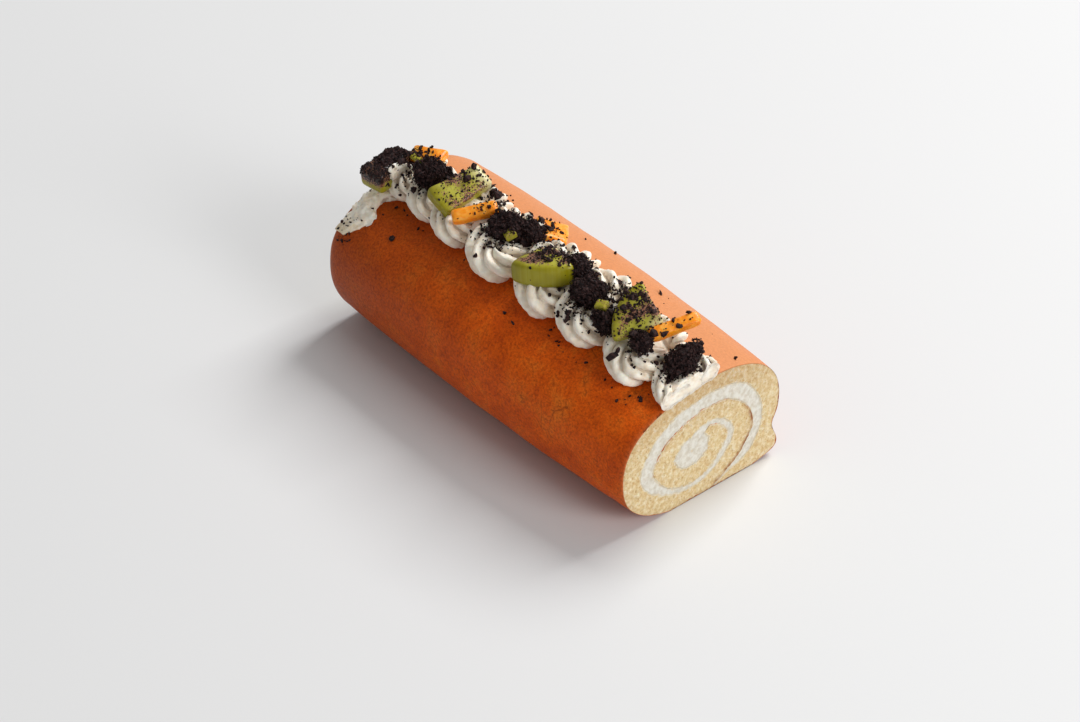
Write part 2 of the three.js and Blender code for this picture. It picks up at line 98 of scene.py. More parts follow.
def linear(hex_colour):
    """Linear RGBA of an sRGB hex colour: below 0.04045 c/12.92, else ((c+0.055)/1.055)^2.4."""
    srgb = [int(hex_colour[i : i + 2], 16) / 255 for i in (1, 3, 5)]
    bent = [c / 12.92 if c <= 0.04045 else ((c + 0.055) / 1.055) ** 2.4 for c in srgb]
    return (*bent, 1.0)


def add_node(tree, kind, inputs=None, stops=None, **settings):
    """Adds a node. An input is a hex colour, a plain value, or a node or socket to link.

    A node is linked by its factor if it has one, or else by its first output in use.
    """
    node = tree.nodes.new("ShaderNode" + kind)
    for name, value in settings.items():
        setattr(node, name, value)
    for key, value in (inputs or {}).items():
        if isinstance(value, bpy.types.Node):
            used = [socket for socket in value.outputs if socket.enabled]
            value = next((socket for socket in used if socket.name == "Fac"), used[0])
        if isinstance(value, bpy.types.NodeSocket):
            tree.links.new(value, node.inputs[key])
        else:
            node.inputs[key].default_value = linear(value) if isinstance(value, str) else value
    for i, (place, colour) in enumerate(stops or []):
        elements = node.color_ramp.elements
        element = elements[i] if i < len(elements) else elements.new(place)
        element.position = place
        element.color = linear(colour)
    return node


def new_material(name):
    """A material, its empty node tree, and the coordinates that its patterns follow."""
    material = bpy.data.materials.new(name)
    material.use_nodes = True
    tree = material.node_tree
    tree.nodes.clear()
    return material, tree, add_node(tree, "TexCoord").outputs["Object"]


def per_mm(size):
    """Texture scale whose pattern repeats about every `size` millimetres."""
    return 1 / (size * MM)


# %% [markdown]
# The cake stands on a plain pale floor. A studio could have many lamps, but two large soft
# ones and an even sky give the same look: a key light from behind, which leaves the front
# of the roll in soft shade, and a weaker one from the side.

# %% Floor and light
WHITE = "#FFFFFF"
FLOOR_COLOUR = "#DCDCDC"
FLOOR_SIZE = 9.0
FLOOR_GAP = 0.1  # mm under the cake, so that the two surfaces don't flicker
KEY_LIGHT = dict(place=(-0.2, 1.9, 2.2), size=1.3, watts=70.0)
SIDE_LIGHT = dict(place=(2.4, 0.3, 1.3), size=1.2, watts=38.0)
LIT_HEIGHT = 0.03
SKY_STRENGTH = 0.32

floor_material, tree, place = new_material("matt_white_laminate")
matt = add_node(tree, "BsdfPrincipled", {"Base Color": FLOOR_COLOUR, "Roughness": 0.65})
add_node(tree, "OutputMaterial", {"Surface": matt})

half = FLOOR_SIZE / 2
corners = [(-half, -half, 0), (half, -half, 0), (half, half, 0), (-half, half, 0)]
floor_mesh = bpy.data.meshes.new("floor")
floor_mesh.from_pydata(corners, [], [(0, 1, 2, 3)])
floor_mesh.materials.append(floor_material)
floor = bpy.data.objects.new("floor", floor_mesh)
floor.location.z = -FLOOR_GAP * MM
scene.collection.objects.link(floor)


def area_light(name, place, size, watts):
    """A square soft light at `place` that faces the middle of the cake."""
    data = bpy.data.lights.new(name, "AREA")
    data.size = size
    data.energy = watts
    lamp = bpy.data.objects.new(name, data)
    lamp.location = place
    away = Vector(place) - Vector((0, 0, LIT_HEIGHT))
    lamp.rotation_euler = away.to_track_quat("Z", "Y").to_euler()
    scene.collection.objects.link(lamp)


area_light("key_light", **KEY_LIGHT)
area_light("side_light", **SIDE_LIGHT)

sky = bpy.data.worlds.new("studio")
sky.use_nodes = True
sky.node_tree.nodes["Background"].inputs["Color"].default_value = linear(WHITE)
sky.node_tree.nodes["Background"].inputs["Strength"].default_value = SKY_STRENGTH
scene.world = sky
scene.view_settings.view_transform = "Standard"
print("lights:", KEY_LIGHT["watts"], "and", SIDE_LIGHT["watts"], "W")

# %% [markdown]
# ## Noise and meshes
# Blender has texture nodes for noise, but they only shade. Pores, ragged edges and
# crumbs are real shapes here, so the noise is worked out for arrays of points: one
# function for soft noise and one for cells.

# %% Noise for arrays of points
def vectors(x, y, z):
    """Three arrays, or numbers, as one array of vectors."""
    return np.stack(np.broadcast_arrays(x, y, z), axis=-1)


def unit(directions):
    """Vectors made one long."""
    return directions / np.linalg.norm(directions, axis=-1, keepdims=True)


def hashed(cells, seed):
    """A repeatable random number from 0 to 1 for each integer cell, by mixing its bits."""
    x, y, z = (cells[..., i].astype(np.uint32) for i in range(3))
    mixed = x * np.uint32(73856093) ^ y * np.uint32(19349663) ^ z * np.uint32(83492791)
    mixed ^= np.uint32(seed * 2654435761 % 2**32)
    mixed = (mixed ^ (mixed >> np.uint32(15))) * np.uint32(2246822519)
    mixed = (mixed ^ (mixed >> np.uint32(13))) * np.uint32(3266489917)
    return (mixed ^ (mixed >> np.uint32(16))).astype(np.float64) / 2**32


def soft_noise(points, size, seed=0):
    """From -1 to 1: random values at the corners of cubes of `size`, blended by 3t^2-2t^3."""
    scaled = np.asarray(points, float) / size
    corner = np.floor(scaled).astype(np.int64)
    part = scaled - corner
    part = part * part * (3 - 2 * part)
    total = np.zeros(scaled.shape[:-1])
    for offset in np.ndindex(2, 2, 2):
        offset = np.array(offset)
        weight = np.where(offset, part, 1 - part).prod(axis=-1)
        total += weight * hashed(corner + offset, seed)
    return 2 * total - 1


def cell_distance(points, size, seed=0):
    """Distance, as a share of `size`, to the nearest of the random points, one in each cube."""
    scaled = np.asarray(points, float) / size
    corner = np.floor(scaled).astype(np.int64)
    nearest = np.full(scaled.shape[:-1], np.inf)
    for offset in np.ndindex(3, 3, 3):
        cell = corner + np.array(offset) - 1
        jitter = np.stack([hashed(cell, seed + i) for i in range(3)], axis=-1)
        nearest = np.minimum(nearest, np.linalg.norm(cell + jitter - scaled, axis=-1))
    return nearest


# %% [markdown]
# A surface could be built face by face, but that is slow and hard to follow. Here a
# grid of points, worked out as one array, becomes a mesh in one step. The numbers that
# a material reads, such as where the skin's painted sheen lies, are stored with the
# mesh's points.

# %% Meshes from grids
DOUBLED = 0.002  # mm between points that are merged
SLIVER = 0.001  # mm across faces that are dropped


def ring_faces(rows, columns):
    """The quads between rings of points, row after row, each ring closed round."""
    row = np.arange(rows - 1)[:, None] * columns
    here = np.arange(columns)[None, :]
    beside = (here + 1) % columns
    quads = [row + here, row + columns + here, row + columns + beside, row + beside]
    return np.stack(quads, axis=-1).reshape(-1, 4)


def new_piece(name, points, faces, materials, material_of_face=None):
    """A smooth-shaded object from points in millimetres and an array or list of faces."""
    mesh = bpy.data.meshes.new(name)
    points = np.asarray(points).reshape(-1, 3) * MM
    faces = faces if isinstance(faces, list) else faces.tolist()
    mesh.from_pydata(points.tolist(), [], faces)
    for material in materials:
        mesh.materials.append(material)
    if material_of_face is not None:
        mesh.polygons.foreach_set("material_index", np.asarray(material_of_face, dtype=np.int32))
    shade_smooth(mesh, True)
    piece = bpy.data.objects.new(name, mesh)
    scene.collection.objects.link(piece)
    return piece


def shade_smooth(mesh, smooth):
    """Shades all faces of a mesh smooth, or all flat."""
    mesh.polygons.foreach_set("use_smooth", np.full(len(mesh.polygons), smooth))


def set_attribute(piece, name, values):
    """Stores one number for each vertex, for the material to read."""
    attribute = piece.data.attributes.new(name, "FLOAT", "POINT")
    attribute.data.foreach_set("value", np.asarray(values, dtype=np.float32).ravel())


def close_ends(piece, rows, columns):
    """Closes a tube of rings with one face over its first ring and one over its last."""
    shape = bmesh.new()
    shape.from_mesh(piece.data)
    shape.verts.ensure_lookup_table()
    for start in (0, (rows - 1) * columns):
        shape.faces.new([shape.verts[start + i] for i in range(columns)])
    bmesh.ops.recalc_face_normals(shape, faces=shape.faces)
    shape.to_mesh(piece.data)
    shape.free()


def tidy_mesh(piece):
    """Merges doubled points, drops faces without area and points the rest outwards."""
    shape = bmesh.new()
    shape.from_mesh(piece.data)
    bmesh.ops.remove_doubles(shape, verts=shape.verts, dist=DOUBLED * MM)
    bmesh.ops.dissolve_degenerate(shape, edges=shape.edges, dist=SLIVER * MM)
    bmesh.ops.recalc_face_normals(shape, faces=shape.faces)
    shape.to_mesh(piece.data)
    shape.free()


def onto_cake(piece, slot, *nodes):
    """Hangs a finished piece on the cake, in place of the solids that it stands for."""
    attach(piece, "root")
    if nodes:
        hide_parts(*nodes)
    print(f"{piece.name}: {len(piece.data.polygons)} faces")


# %% [markdown]
# ## The form of the roll
# The section of the roll is a rounded outline that has settled flat, with the spiral of
# sheet and cream inside it. It could be drawn as curves, but then nothing could be put
# onto the skin by a formula. So the outline is a superellipse with a few dents, and the
# spiral is a distance from the core that changes with the angle. The angle is counted
# from the cake's back upwards, and goes on growing as the spiral winds inwards.

# %% Measures of the roll
END = 95.0  # mm from the middle to either end
WIDTH = dict(sliced=85.6, middle=92.0, far=86.5)  # mm at three places along the roll
HEIGHT = dict(sliced=58.1, middle=65.2, far=64.6)
BEND = 1.3  # mm that the ends lie further back than the middle
FAR_ROUNDING = 6.0  # mm before the far end where its rim begins to round
FAR_SHRINK = 0.03  # share that the section is smaller at the far end itself
WAIST = 28.2  # mm up to the widest place
CROWN = HEIGHT["sliced"] - WAIST
SQUASH = 1.3  # mm that the flat underside cuts off
ROUNDNESS = dict(crown=2.32, front=2.38, tail=4.5)  # 2 is round, more is squarer
DENTS = [(128, -1.8, 28), (-17, -3.2, 8), (-29, 3.4, 7)]  # degrees, mm out, spread
CORE = (-6.0, 25.5)  # y and z of the middle of the spiral
TAIL = -61  # degrees at the loose end of the sheet
TURN_END = TAIL + 360
SHEET_END = TURN_END + 105
LAST = SHEET_END + 360
CREAM_REACH = [  # degrees, mm from the core to the outer side of the cream
    (-61, 28), (-45, 30), (-30, 35.5), (-12, 38.7), (15, 37.8), (35, 35), (60, 28.3),
    (90, 24), (120, 23.8), (150, 25.6), (180, 28), (210, 23.4), (240, 19.6), (270, 18.5),
    (300, 19.5), (330, 20.8), (355, 23), (385, 19.2), (420, 11.9), (445, 8), (495, 7.8),
    (540, 9.1), (585, 7.8), (630, 6.9), (675, 8.2), (720, 9), (767, 9.4),
]
CREAM_THICKNESS = [  # degrees, mm
    (-61, 0.2), (-45, 1.2), (-30, 4.6), (0, 5), (30, 7.8), (60, 6.8), (120, 7),
    (180, 6.8), (210, 4.7), (240, 2.7), (290, 2.2), (345, 3.3), (390, 3.4), (410, 2.8),
]
print("roll:", 2 * END, "mm long,", WIDTH["middle"], "wide,", HEIGHT["middle"], "high")


# %% Outline of the section
def smooth_curve(pairs, at):
    """A cubic through the pairs whose slope at each is the mean of the slopes beside it."""
    place, value = np.array(pairs, float).T
    slopes = np.diff(value) / np.diff(place)
    slope = np.concatenate([[0], (slopes[1:] + slopes[:-1]) / 2, [0]])
    i = np.clip(np.searchsorted(place, at, side="right") - 1, 0, len(place) - 2)
    step = place[i + 1] - place[i]
    t = np.clip((at - place[i]) / step, 0, 1)
    start = (1 + 2 * t) * (1 - t) ** 2 * value[i] + t * (1 - t) ** 2 * step * slope[i]
    return start + t * t * (3 - 2 * t) * value[i + 1] - t * t * (1 - t) * step * slope[i + 1]


def along(measure, x):
    """A parabola through a measure's three values, with u = x/END from -1 to 1."""
    u = x / END
    return (
        measure["middle"] * (1 - u * u)
        + measure["sliced"] * u * (u + 1) / 2
        + measure["far"] * u * (u - 1) / 2
    )


def outline_reach(angle):
    """Waist to outline: (|cos/wide|^p + |sin/tall|^p)^(-1/p) plus the dents, cut flat below."""
    c, s = np.cos(angle), np.sin(angle)
    lower = np.where(c > 0, ROUNDNESS["tail"], ROUNDNESS["front"])
    power = np.where(s >= 0, ROUNDNESS["crown"], lower)
    tall = np.where(s >= 0, CROWN, WAIST + SQUASH)
    wide = WIDTH["sliced"] / 2
    reach = (np.abs(c / wide) ** power + np.abs(s / tall) ** power) ** (-1 / power)
    for at, depth, spread in DENTS:
        off = angle - math.radians(at)
        off = np.arctan2(np.sin(off), np.cos(off)) / math.radians(spread)
        reach = reach + depth * np.exp(-(off**2))
    return np.where(s < 0, np.minimum(reach, WAIST / np.maximum(-s, 1e-9)), reach)


def reach_from_core(degrees, halvings=24):
    """Distance from the core of the filling to the outline, found by halving."""
    turn = np.radians(degrees)
    inside, outside = np.zeros_like(turn), np.full_like(turn, WIDTH["sliced"])
    for _ in range(halvings):
        middle = (inside + outside) / 2
        y = CORE[0] + middle * np.cos(turn)
        z = CORE[1] + middle * np.sin(turn) - WAIST
        within = np.hypot(y, z) < outline_reach(np.arctan2(z, y))
        inside, outside = np.where(within, middle, inside), np.where(within, outside, middle)
    return inside


# %% [markdown]
# The roll is a little thicker in the middle than at its ends, and it bends slightly. So
# everything is worked out in the section of the sliced end and carried from there to its
# place along the roll. The skin's height then follows for any place in the plan, and
# that is the ground for the cream, the fruit and the crumbs.

# %% The skin as a ground
def onto_roll(x, y, z):
    """Carries points of the sliced face's section to the section at x."""
    wide = along(WIDTH, x) / WIDTH["sliced"]
    tall = along(HEIGHT, x) / HEIGHT["sliced"]
    depth = np.clip(1 - (x + END) / FAR_ROUNDING, 0, 1)
    draw = 1 - FAR_SHRINK * depth**2
    bent = BEND * (x / END) ** 2
    return vectors(x, y * wide * draw + bent, WAIST * tall + (z - WAIST) * tall * draw)


def skin_height(x, y, halvings=20):
    """Height of the skin over a point of the plan, found by halving."""
    x, y = np.broadcast_arrays(np.asarray(x, float), np.asarray(y, float))
    flat = (y - BEND * (x / END) ** 2) / (along(WIDTH, x) / WIDTH["sliced"])
    low, high = np.zeros_like(flat), np.full_like(flat, HEIGHT["sliced"])
    for _ in range(halvings):
        z = (low + high) / 2
        within = np.hypot(flat, z) < outline_reach(np.arctan2(z, flat))
        low, high = np.where(within, z, low), np.where(within, high, z)
    return (WAIST + low) * along(HEIGHT, x) / HEIGHT["sliced"]


def skin_normal(x, y, step=1.0):
    """Upward direction of the skin, (-dz/dx, -dz/dy, 1) made one long."""
    slope_x = (skin_height(x + step, y) - skin_height(x - step, y)) / (2 * step)
    slope_y = (skin_height(x, y + step) - skin_height(x, y - step)) / (2 * step)
    return unit(vectors(-slope_x, -slope_y, 1.0))


print("top of the skin in the middle:", round(float(skin_height(0, 0)), 1), "mm")

# %% [markdown]
# ### Finishes of the sponge
# Sponge is a foam of egg, sugar and flour, baked on a tray. Its skin browns to a leathery
# grain, matt and a little mottled, and where it is cut it is pale yellow, dull and full
# of pores of a millimetre or less. They could be two pieces, but then a seam would show,
# so they are two materials on one mesh. The skin is darker towards the far end and the
# back. Behind the cream it is painted paler, most where it faces up: a painted sheen of
# the light from behind. It is also pale in a thin line along the cuts. Each such place is
# a number that the mesh carries for the material to read.

# %% Browned skin: tones
SKIN_BROWN = "#EE660C"
SKIN_DARK = "#D65406"
SKIN_LIGHT = "#F47C20"
# darker brown laid towards the far end and towards the back
SKIN_FAR_AND_BACK = "#A8480E"
# pale orange of the painted sheen on the skin, and of its pale line along the cuts
SKIN_SHEEN_AND_RIM = "#DC9260"
SKIN_CRACK = "#7A3206"
SKIN_MOTTLE = 16.0  # mm across a lighter or darker patch
SKIN_NET = 13.0  # mm across the net of fine cracks

skin_material, tree, place = new_material("browned_sponge_skin")
mottle = add_node(
    tree,
    "TexNoise",
    {"Vector": place, "Scale": per_mm(SKIN_MOTTLE), "Detail": 7.0, "Roughness": 0.68},
)
tones = [(0.33, SKIN_DARK), (0.52, SKIN_BROWN), (0.7, SKIN_LIGHT)]
tone = add_node(tree, "ValToRGB", {"Fac": mottle}, tones)
darker_far_and_behind = add_node(tree, "Attribute", attribute_name="darker_far_and_behind")
sheen_and_rim = add_node(tree, "Attribute", attribute_name="sheen_and_rim")

# %% [markdown]
# The skin has cracked a little, in thin lines that part and meet. The edges between the
# cells of a Voronoi pattern run like that. They show only in the lighter patches.

# %% Browned skin: cracks
nets = add_node(
    tree,
    "TexVoronoi",
    {"Vector": place, "Scale": per_mm(SKIN_NET), "Detail": 2.0, "Roughness": 0.8},
    feature="DISTANCE_TO_EDGE",
)
line = add_node(tree, "ValToRGB", {"Fac": nets}, [(0.008, "#C8C8C8"), (0.024, "#000000")])
where = add_node(tree, "ValToRGB", {"Fac": mottle}, [(0.55, "#000000"), (0.66, "#FFFFFF")])
cracked = add_node(tree, "Math", {0: line, 1: where}, operation="MULTIPLY")
# Layers: darker towards the far end and the back, the cracks, then a painted sheen where the skin
# faces up behind the cream, together with a pale line along the cuts
for amount, colour in ((darker_far_and_behind, SKIN_FAR_AND_BACK), (cracked, SKIN_CRACK), (sheen_and_rim, SKIN_SHEEN_AND_RIM)):
    layers = {"Factor": amount, UNDER: tone, OVER: colour}
    tone = add_node(tree, "Mix", layers, data_type="RGBA")

# %% Browned skin: grain
SKIN_GRAIN = 1.1  # mm between bumps; the real grain is half as coarse and wouldn't show
SKIN_RELIEF = 0.3  # mm

grain = add_node(
    tree,
    "TexNoise",
    {"Vector": place, "Scale": per_mm(SKIN_GRAIN), "Detail": 5.0, "Roughness": 0.7},
)
tones = [(0.34, "#86746E"), (0.5, "#DCD2CE"), (0.64, "#FFFFFF")]
speckle = add_node(tree, "ValToRGB", {"Fac": grain}, tones)
# fewer dark specks show under the painted sheen and the pale line along the cuts
less_with_sheen_and_rim = add_node(tree, "Math", {0: sheen_and_rim, 1: -0.45, 2: 0.65}, operation="MULTIPLY_ADD")
layers = {"Factor": less_with_sheen_and_rim, UNDER: tone, OVER: speckle}
grainy = add_node(tree, "Mix", layers, data_type="RGBA", blend_type="MULTIPLY")
bumps = {"Height": grain, "Strength": 0.6, "Distance": SKIN_RELIEF * MM}
looks = {
    "Base Color": grainy,
    "Roughness": 0.5,
    "Specular IOR Level": 0.12,
    "Normal": add_node(tree, "Bump", bumps),
}
add_node(tree, "OutputMaterial", {"Surface": add_node(tree, "BsdfPrincipled", looks)})
print(skin_material.name, len(tree.nodes), "nodes")

# %% [markdown]
# Cut sponge is told by its crumb: patches of paler and deeper yellow with a dark speck
# for each open pore. Two more things show on the cut: the brown line of the skin, where
# the sheet lies on itself, and cream that the knife dragged over the edges. The same brown
# also lays painted shade over the top of the cut.

# %% Cut sponge
SPONGE_YELLOW = "#DDC596"
SPONGE_PALE = "#EDE0C2"
SPONGE_DEEP = "#CBA875"
PORE_BROWN = "#C49A62"
# brown of the skin line, also used for painted shade over the top of the cut
SKIN_LINE_AND_SHADE = "#8E4E22"
CREAM_SMEARED = "#E2D8C4"
SPONGE_PATCH = 2.2  # mm
PORE = 1.5  # mm between pores
SPONGE_RELIEF = 0.5  # mm

cut_material, tree, place = new_material("cut_sponge")
patches = add_node(
    tree,
    "TexNoise",
    {"Vector": place, "Scale": per_mm(SPONGE_PATCH), "Detail": 6.0, "Roughness": 0.75},
)
tones = [(0.34, SPONGE_DEEP), (0.5, SPONGE_YELLOW), (0.66, SPONGE_PALE)]
tone = add_node(tree, "ValToRGB", {"Fac": patches}, tones)
pores = add_node(tree, "TexVoronoi", {"Vector": place, "Scale": per_mm(PORE)})
pitted = add_node(tree, "ValToRGB", {"Fac": pores}, [(0.1, PORE_BROWN), (0.3, WHITE)])
layers = {"Factor": 0.5, UNDER: tone, OVER: pitted}
tone = add_node(tree, "Mix", layers, data_type="RGBA", blend_type="MULTIPLY")
# mask of the brown skin line and of painted shade over the top of the cut
skin_line_and_top_shade = add_node(tree, "Attribute", attribute_name="skin_line_and_top_shade")
creamed = add_node(tree, "Attribute", attribute_name="creamed")
dragged = add_node(tree, "Math", {0: creamed, 1: patches}, operation="ADD")
smeared = add_node(tree, "ValToRGB", {"Fac": dragged}, [(0.72, "#000000"), (0.95, "#E0E0E0")])
for amount, colour in ((skin_line_and_top_shade, SKIN_LINE_AND_SHADE), (smeared, CREAM_SMEARED)):
    layers = {"Factor": amount, UNDER: tone, OVER: colour}
    tone = add_node(tree, "Mix", layers, data_type="RGBA")
bumps = {"Height": patches, "Strength": 0.7, "Distance": SPONGE_RELIEF * MM}
looks = {
    "Base Color": tone,
    "Roughness": 0.85,
    "Specular IOR Level": 0.2,
    "Normal": add_node(tree, "Bump", bumps),
    "Subsurface Weight": 0.15,
    "Subsurface Radius": (1.0, 0.6, 0.3),
    "Subsurface Scale": 1.5 * MM,
}
add_node(tree, "OutputMaterial", {"Surface": add_node(tree, "BsdfPrincipled", looks)})
print(cut_material.name, len(tree.nodes), "nodes")

# %% [markdown]
# ### The sponge sheet
# The sheet could be one long box bent by a modifier, but its cut edge has to meet the
# cream along an uneven line. So its surface is one grid: one way runs along the sheet
# from its tail to its inner end, and the other goes once round its edge: across the
# sliced face, back along the inner side, across the far face and along the skin.

# %% The sides of the sheet and of the cream
RAGGED = 0.5  # mm by which the line between sponge and cream wanders
RAGGED_SIZES = (6, 2.2, 1.1)  # mm
HELIX_RADIUS = 20.0  # mm; the noise is read along a helix, so no two turns are alike
HELIX_PITCH = 9  # degrees for each millimetre up it


def wander(degrees, seed):
    """Uneven line between sponge and cream: three sizes of noise along the spiral."""
    turn = np.radians(degrees)
    y, z = HELIX_RADIUS * np.cos(turn), HELIX_RADIUS * np.sin(turn)
    line = vectors(y, z, degrees / HELIX_PITCH)
    noise = [soft_noise(line, size, seed + i) for i, size in enumerate(RAGGED_SIZES)]
    return RAGGED * (noise[0] + 0.6 * noise[1] + 0.5 * noise[2])


def cream_outer(degrees):
    """The cream's outer side, where the sheet's inner side lies on it."""
    return smooth_curve(CREAM_REACH, degrees) + wander(degrees, 3)


def cream_inner(degrees):
    """The cream's inner side, at least 0.1 mm further in."""
    thick = np.maximum(smooth_curve(CREAM_THICKNESS, degrees), 0.1)
    return smooth_curve(CREAM_REACH, degrees) - thick + wander(degrees, 5)


def sheet_outer(degrees):
    """The skin on the first turn, and what lies against the cream from there on."""
    skin, against = reach_from_core(degrees), cream_inner(degrees - 360)
    return np.where(degrees <= TURN_END, skin, against)


def ring_of_places(across_near, back_inside, across_far, along_skin):
    """Once round a sheet: how far across it (0 to 1) and how far along the roll."""
    near = np.linspace(0, 1, across_near)
    inside = np.linspace(0, 1, back_inside + 2)[1:-1]
    far = np.linspace(1, 0, across_far)
    skin = (1 - np.cos(np.linspace(0, np.pi, along_skin + 2)[1:-1])) / 2
    across = np.concatenate([near, np.ones(back_inside), far, np.zeros(along_skin)])
    ends = np.full(across_near, 1.0), np.full(across_far, -1.0)
    place = np.concatenate([ends[0], 1 - 2 * inside, ends[1], 2 * skin - 1])
    return across, place * END


def spiral_points(degrees, outer, inner, across, x):
    """Points CORE + r (cos, sin) with r between the two sides, carried along the roll."""
    turn = np.radians(degrees)[:, None]
    reach = outer[:, None] * (1 - across) + inner[:, None] * across
    y = CORE[0] + reach * np.cos(turn)
    z = CORE[1] + reach * np.sin(turn)
    return onto_roll(np.broadcast_to(x, y.shape), y, z)


def cut_faces(x):
    """1 for points on the sliced face, -1 on the far face, 0 between them."""
    return np.where(x == END, 1.0, np.where(x == -END, -1.0, 0.0))


# %% Sheet: its grid
SHEET_STEP = 0.72  # degrees
NEAR_POINTS, INSIDE_POINTS, FAR_POINTS, SKIN_POINTS = 22, 2, 10, 38

degrees = np.arange(TAIL, LAST, SHEET_STEP)
across, x = ring_of_places(NEAR_POINTS, INSIDE_POINTS, FAR_POINTS, SKIN_POINTS)
outer, inner = sheet_outer(degrees), cream_outer(degrees)
points = spiral_points(degrees, outer, inner, across, x)
thickness = (outer - inner)[:, None]
from_skin = across * thickness
facing = cut_faces(x)
print("sheet:", points.shape[0], "rings of", points.shape[1], "points")

# %% [markdown]
# A knife leaves sponge rough: its pores are open, crumb has torn out, and the skin's
# edge is drawn in a little. The skin is gently lumpy above where it settled. Bumps in a
# material would leave the edges straight, so the points themselves are moved.

# %% Sheet: pores, crumb and lumps
ROUGHNESS_DEPTH = 0.55  # mm
PORE_SPACING = 1.9  # mm
CRUMB_SIZES = (1.3, 3.4)  # mm
EDGE_DRAWN_IN = 0.5  # mm
EDGE_WIDTH = 0.8  # mm over which that fades
LUMP_SIZES = (21, 6)  # mm
SETTLED = 2  # mm up to where the skin is pressed flat

pores = np.clip(0.55 - cell_distance(points, PORE_SPACING, 21), 0, 1) * 1.6
fine, coarse = (soft_noise(points, size, 22 + i) for i, size in enumerate(CRUMB_SIZES))
rough = ROUGHNESS_DEPTH * (0.4 * (0.6 * fine + 0.5 * coarse) - pores)
edge = np.exp(-from_skin / EDGE_WIDTH) * (degrees < TURN_END)[:, None]
points[..., 0] += facing * (rough - EDGE_DRAWN_IN * edge)

on_skin = (facing == 0) & (across == 0)
wide, small = (soft_noise(points, size, 31 + i) for i, size in enumerate(LUMP_SIZES))
lift = (0.25 * wide + 0.12 * small) * on_skin * (points[..., 2] > SETTLED)
outward = unit(vectors(0, points[..., 1], points[..., 2] - WAIST))
points += outward * lift[..., None]

rows, columns = points.shape[:2]
faces = ring_faces(rows, columns)
column_of_face = np.tile(np.arange(columns), rows - 1)
is_skin = column_of_face >= NEAR_POINTS + INSIDE_POINTS + FAR_POINTS - 1
sponge = new_piece(
    "sponge_sheet", points, faces, [cut_material, skin_material], is_skin.astype(int)
)
print("lumps on the skin:", round(float(lift.max()), 2), "mm at most")

# %% [markdown]
# On the cut, a brown line marks the skin. It is strongest where the second turn begins,
# with hardly any cream on the skin, and almost nothing of it shows round the outside.
# Painted shade, in the skin line's brown, darkens the sponge above, and cream is dragged
# over it from wherever cream lies against it.

# %% Sheet: what the cut carries
LINE_WIDTH = 1.4  # mm of the brown line
LINE_ANGLES = (-6, 2, 62, 78, 205, 240)  # degrees past the first turn
LINE_STRENGTHS = (0.08, 1, 1, 0.35, 0.25, 0.1)
DRAGGED = 0.8  # mm that cream is dragged over the cut
CREAM_ON_SKIN = 75  # degrees past the first turn from where cream lies on the skin
NO_CREAM = 9.0  # mm, too far for any to be dragged

past = (degrees - TURN_END)[:, None]
broken = np.clip(0.8 + 0.9 * soft_noise(points, 2.4, 24), 0.2, 1.1)
strength = np.interp(past, LINE_ANGLES, LINE_STRENGTHS) * broken
# painted shade over the top of the cut, stronger higher up
painted_top_shade = 0.26 * np.clip((points[..., 2] - 34) / 22, 0, 1)
skin_line_and_top_shade = np.maximum(strength * np.exp(-((from_skin / LINE_WIDTH) ** 2)), painted_top_shade)
set_attribute(sponge, "skin_line_and_top_shade", skin_line_and_top_shade)
to_cream = np.where(past > CREAM_ON_SKIN, from_skin, NO_CREAM)
to_cream = np.minimum((1 - across) * thickness, to_cream)
set_attribute(sponge, "creamed", 0.55 * np.exp(-to_cream / DRAGGED) * (facing != 0))

# %% [markdown]
# Behind the cream the skin is painted paler, most where it faces up: a painted sheen of
# the light from behind. It is also pale in a thin line along the cuts. It is darker towards
# the far end and towards the back.

# %% Sheet: what the skin carries
# painted sheen of the light from behind: paler behind the cream, most where the skin faces up,
# plus a pale line along the cuts
sheen_and_rim = 0.45 + 0.55 * np.clip((outward[..., 2] - 0.2) / 0.45, 0, 1)
sheen_and_rim = sheen_and_rim * np.clip((points[..., 1] + 8) / 14, 0, 1)
by_the_cut = 0.8 * np.exp(-(END - np.abs(points[..., 0])) / EDGE_WIDTH)
set_attribute(sponge, "sheen_and_rim", np.maximum(sheen_and_rim, by_the_cut))
# darker towards the far end and towards the back
to_far_end = 0.8 * np.clip((10 - points[..., 0]) / 100, 0, 1)
behind = 0.55 * np.clip((points[..., 1] - 15) / 25, 0, 1)
set_attribute(sponge, "darker_far_and_behind", np.maximum(to_far_end, behind))
close_ends(sponge, rows, columns)
onto_cake(sponge, "sponge", "sponge")

# %% [markdown]
# ### Cream
# Whipped cream is a soft foam of fat and air. It scatters light under its surface, so
# its shadows are light and warm, and it has a faint gloss. Cut with a knife it is flat
# with slight streaks, and squeezed from a star nozzle it has rounded ridges, with less
# light in the grooves between them. Both could share one material, but the cut cream is
# greyer and duller, so one function makes the two with different values. Crumbs of
# sponge get into it where the two meet.

# %% Cream materials
FILLING_WHITE = "#E2DED3"
FILLING_SHADE = "#CEC5B4"
PIPED_WHITE = "#FBF3E4"
PIPED_SHADE = "#F0E1CB"
GROOVE_SHADE = "#B39A7E"
CREAM_GRIT = 1.6  # mm between crumbs of sponge
CREAM_RELIEF = 0.3  # mm


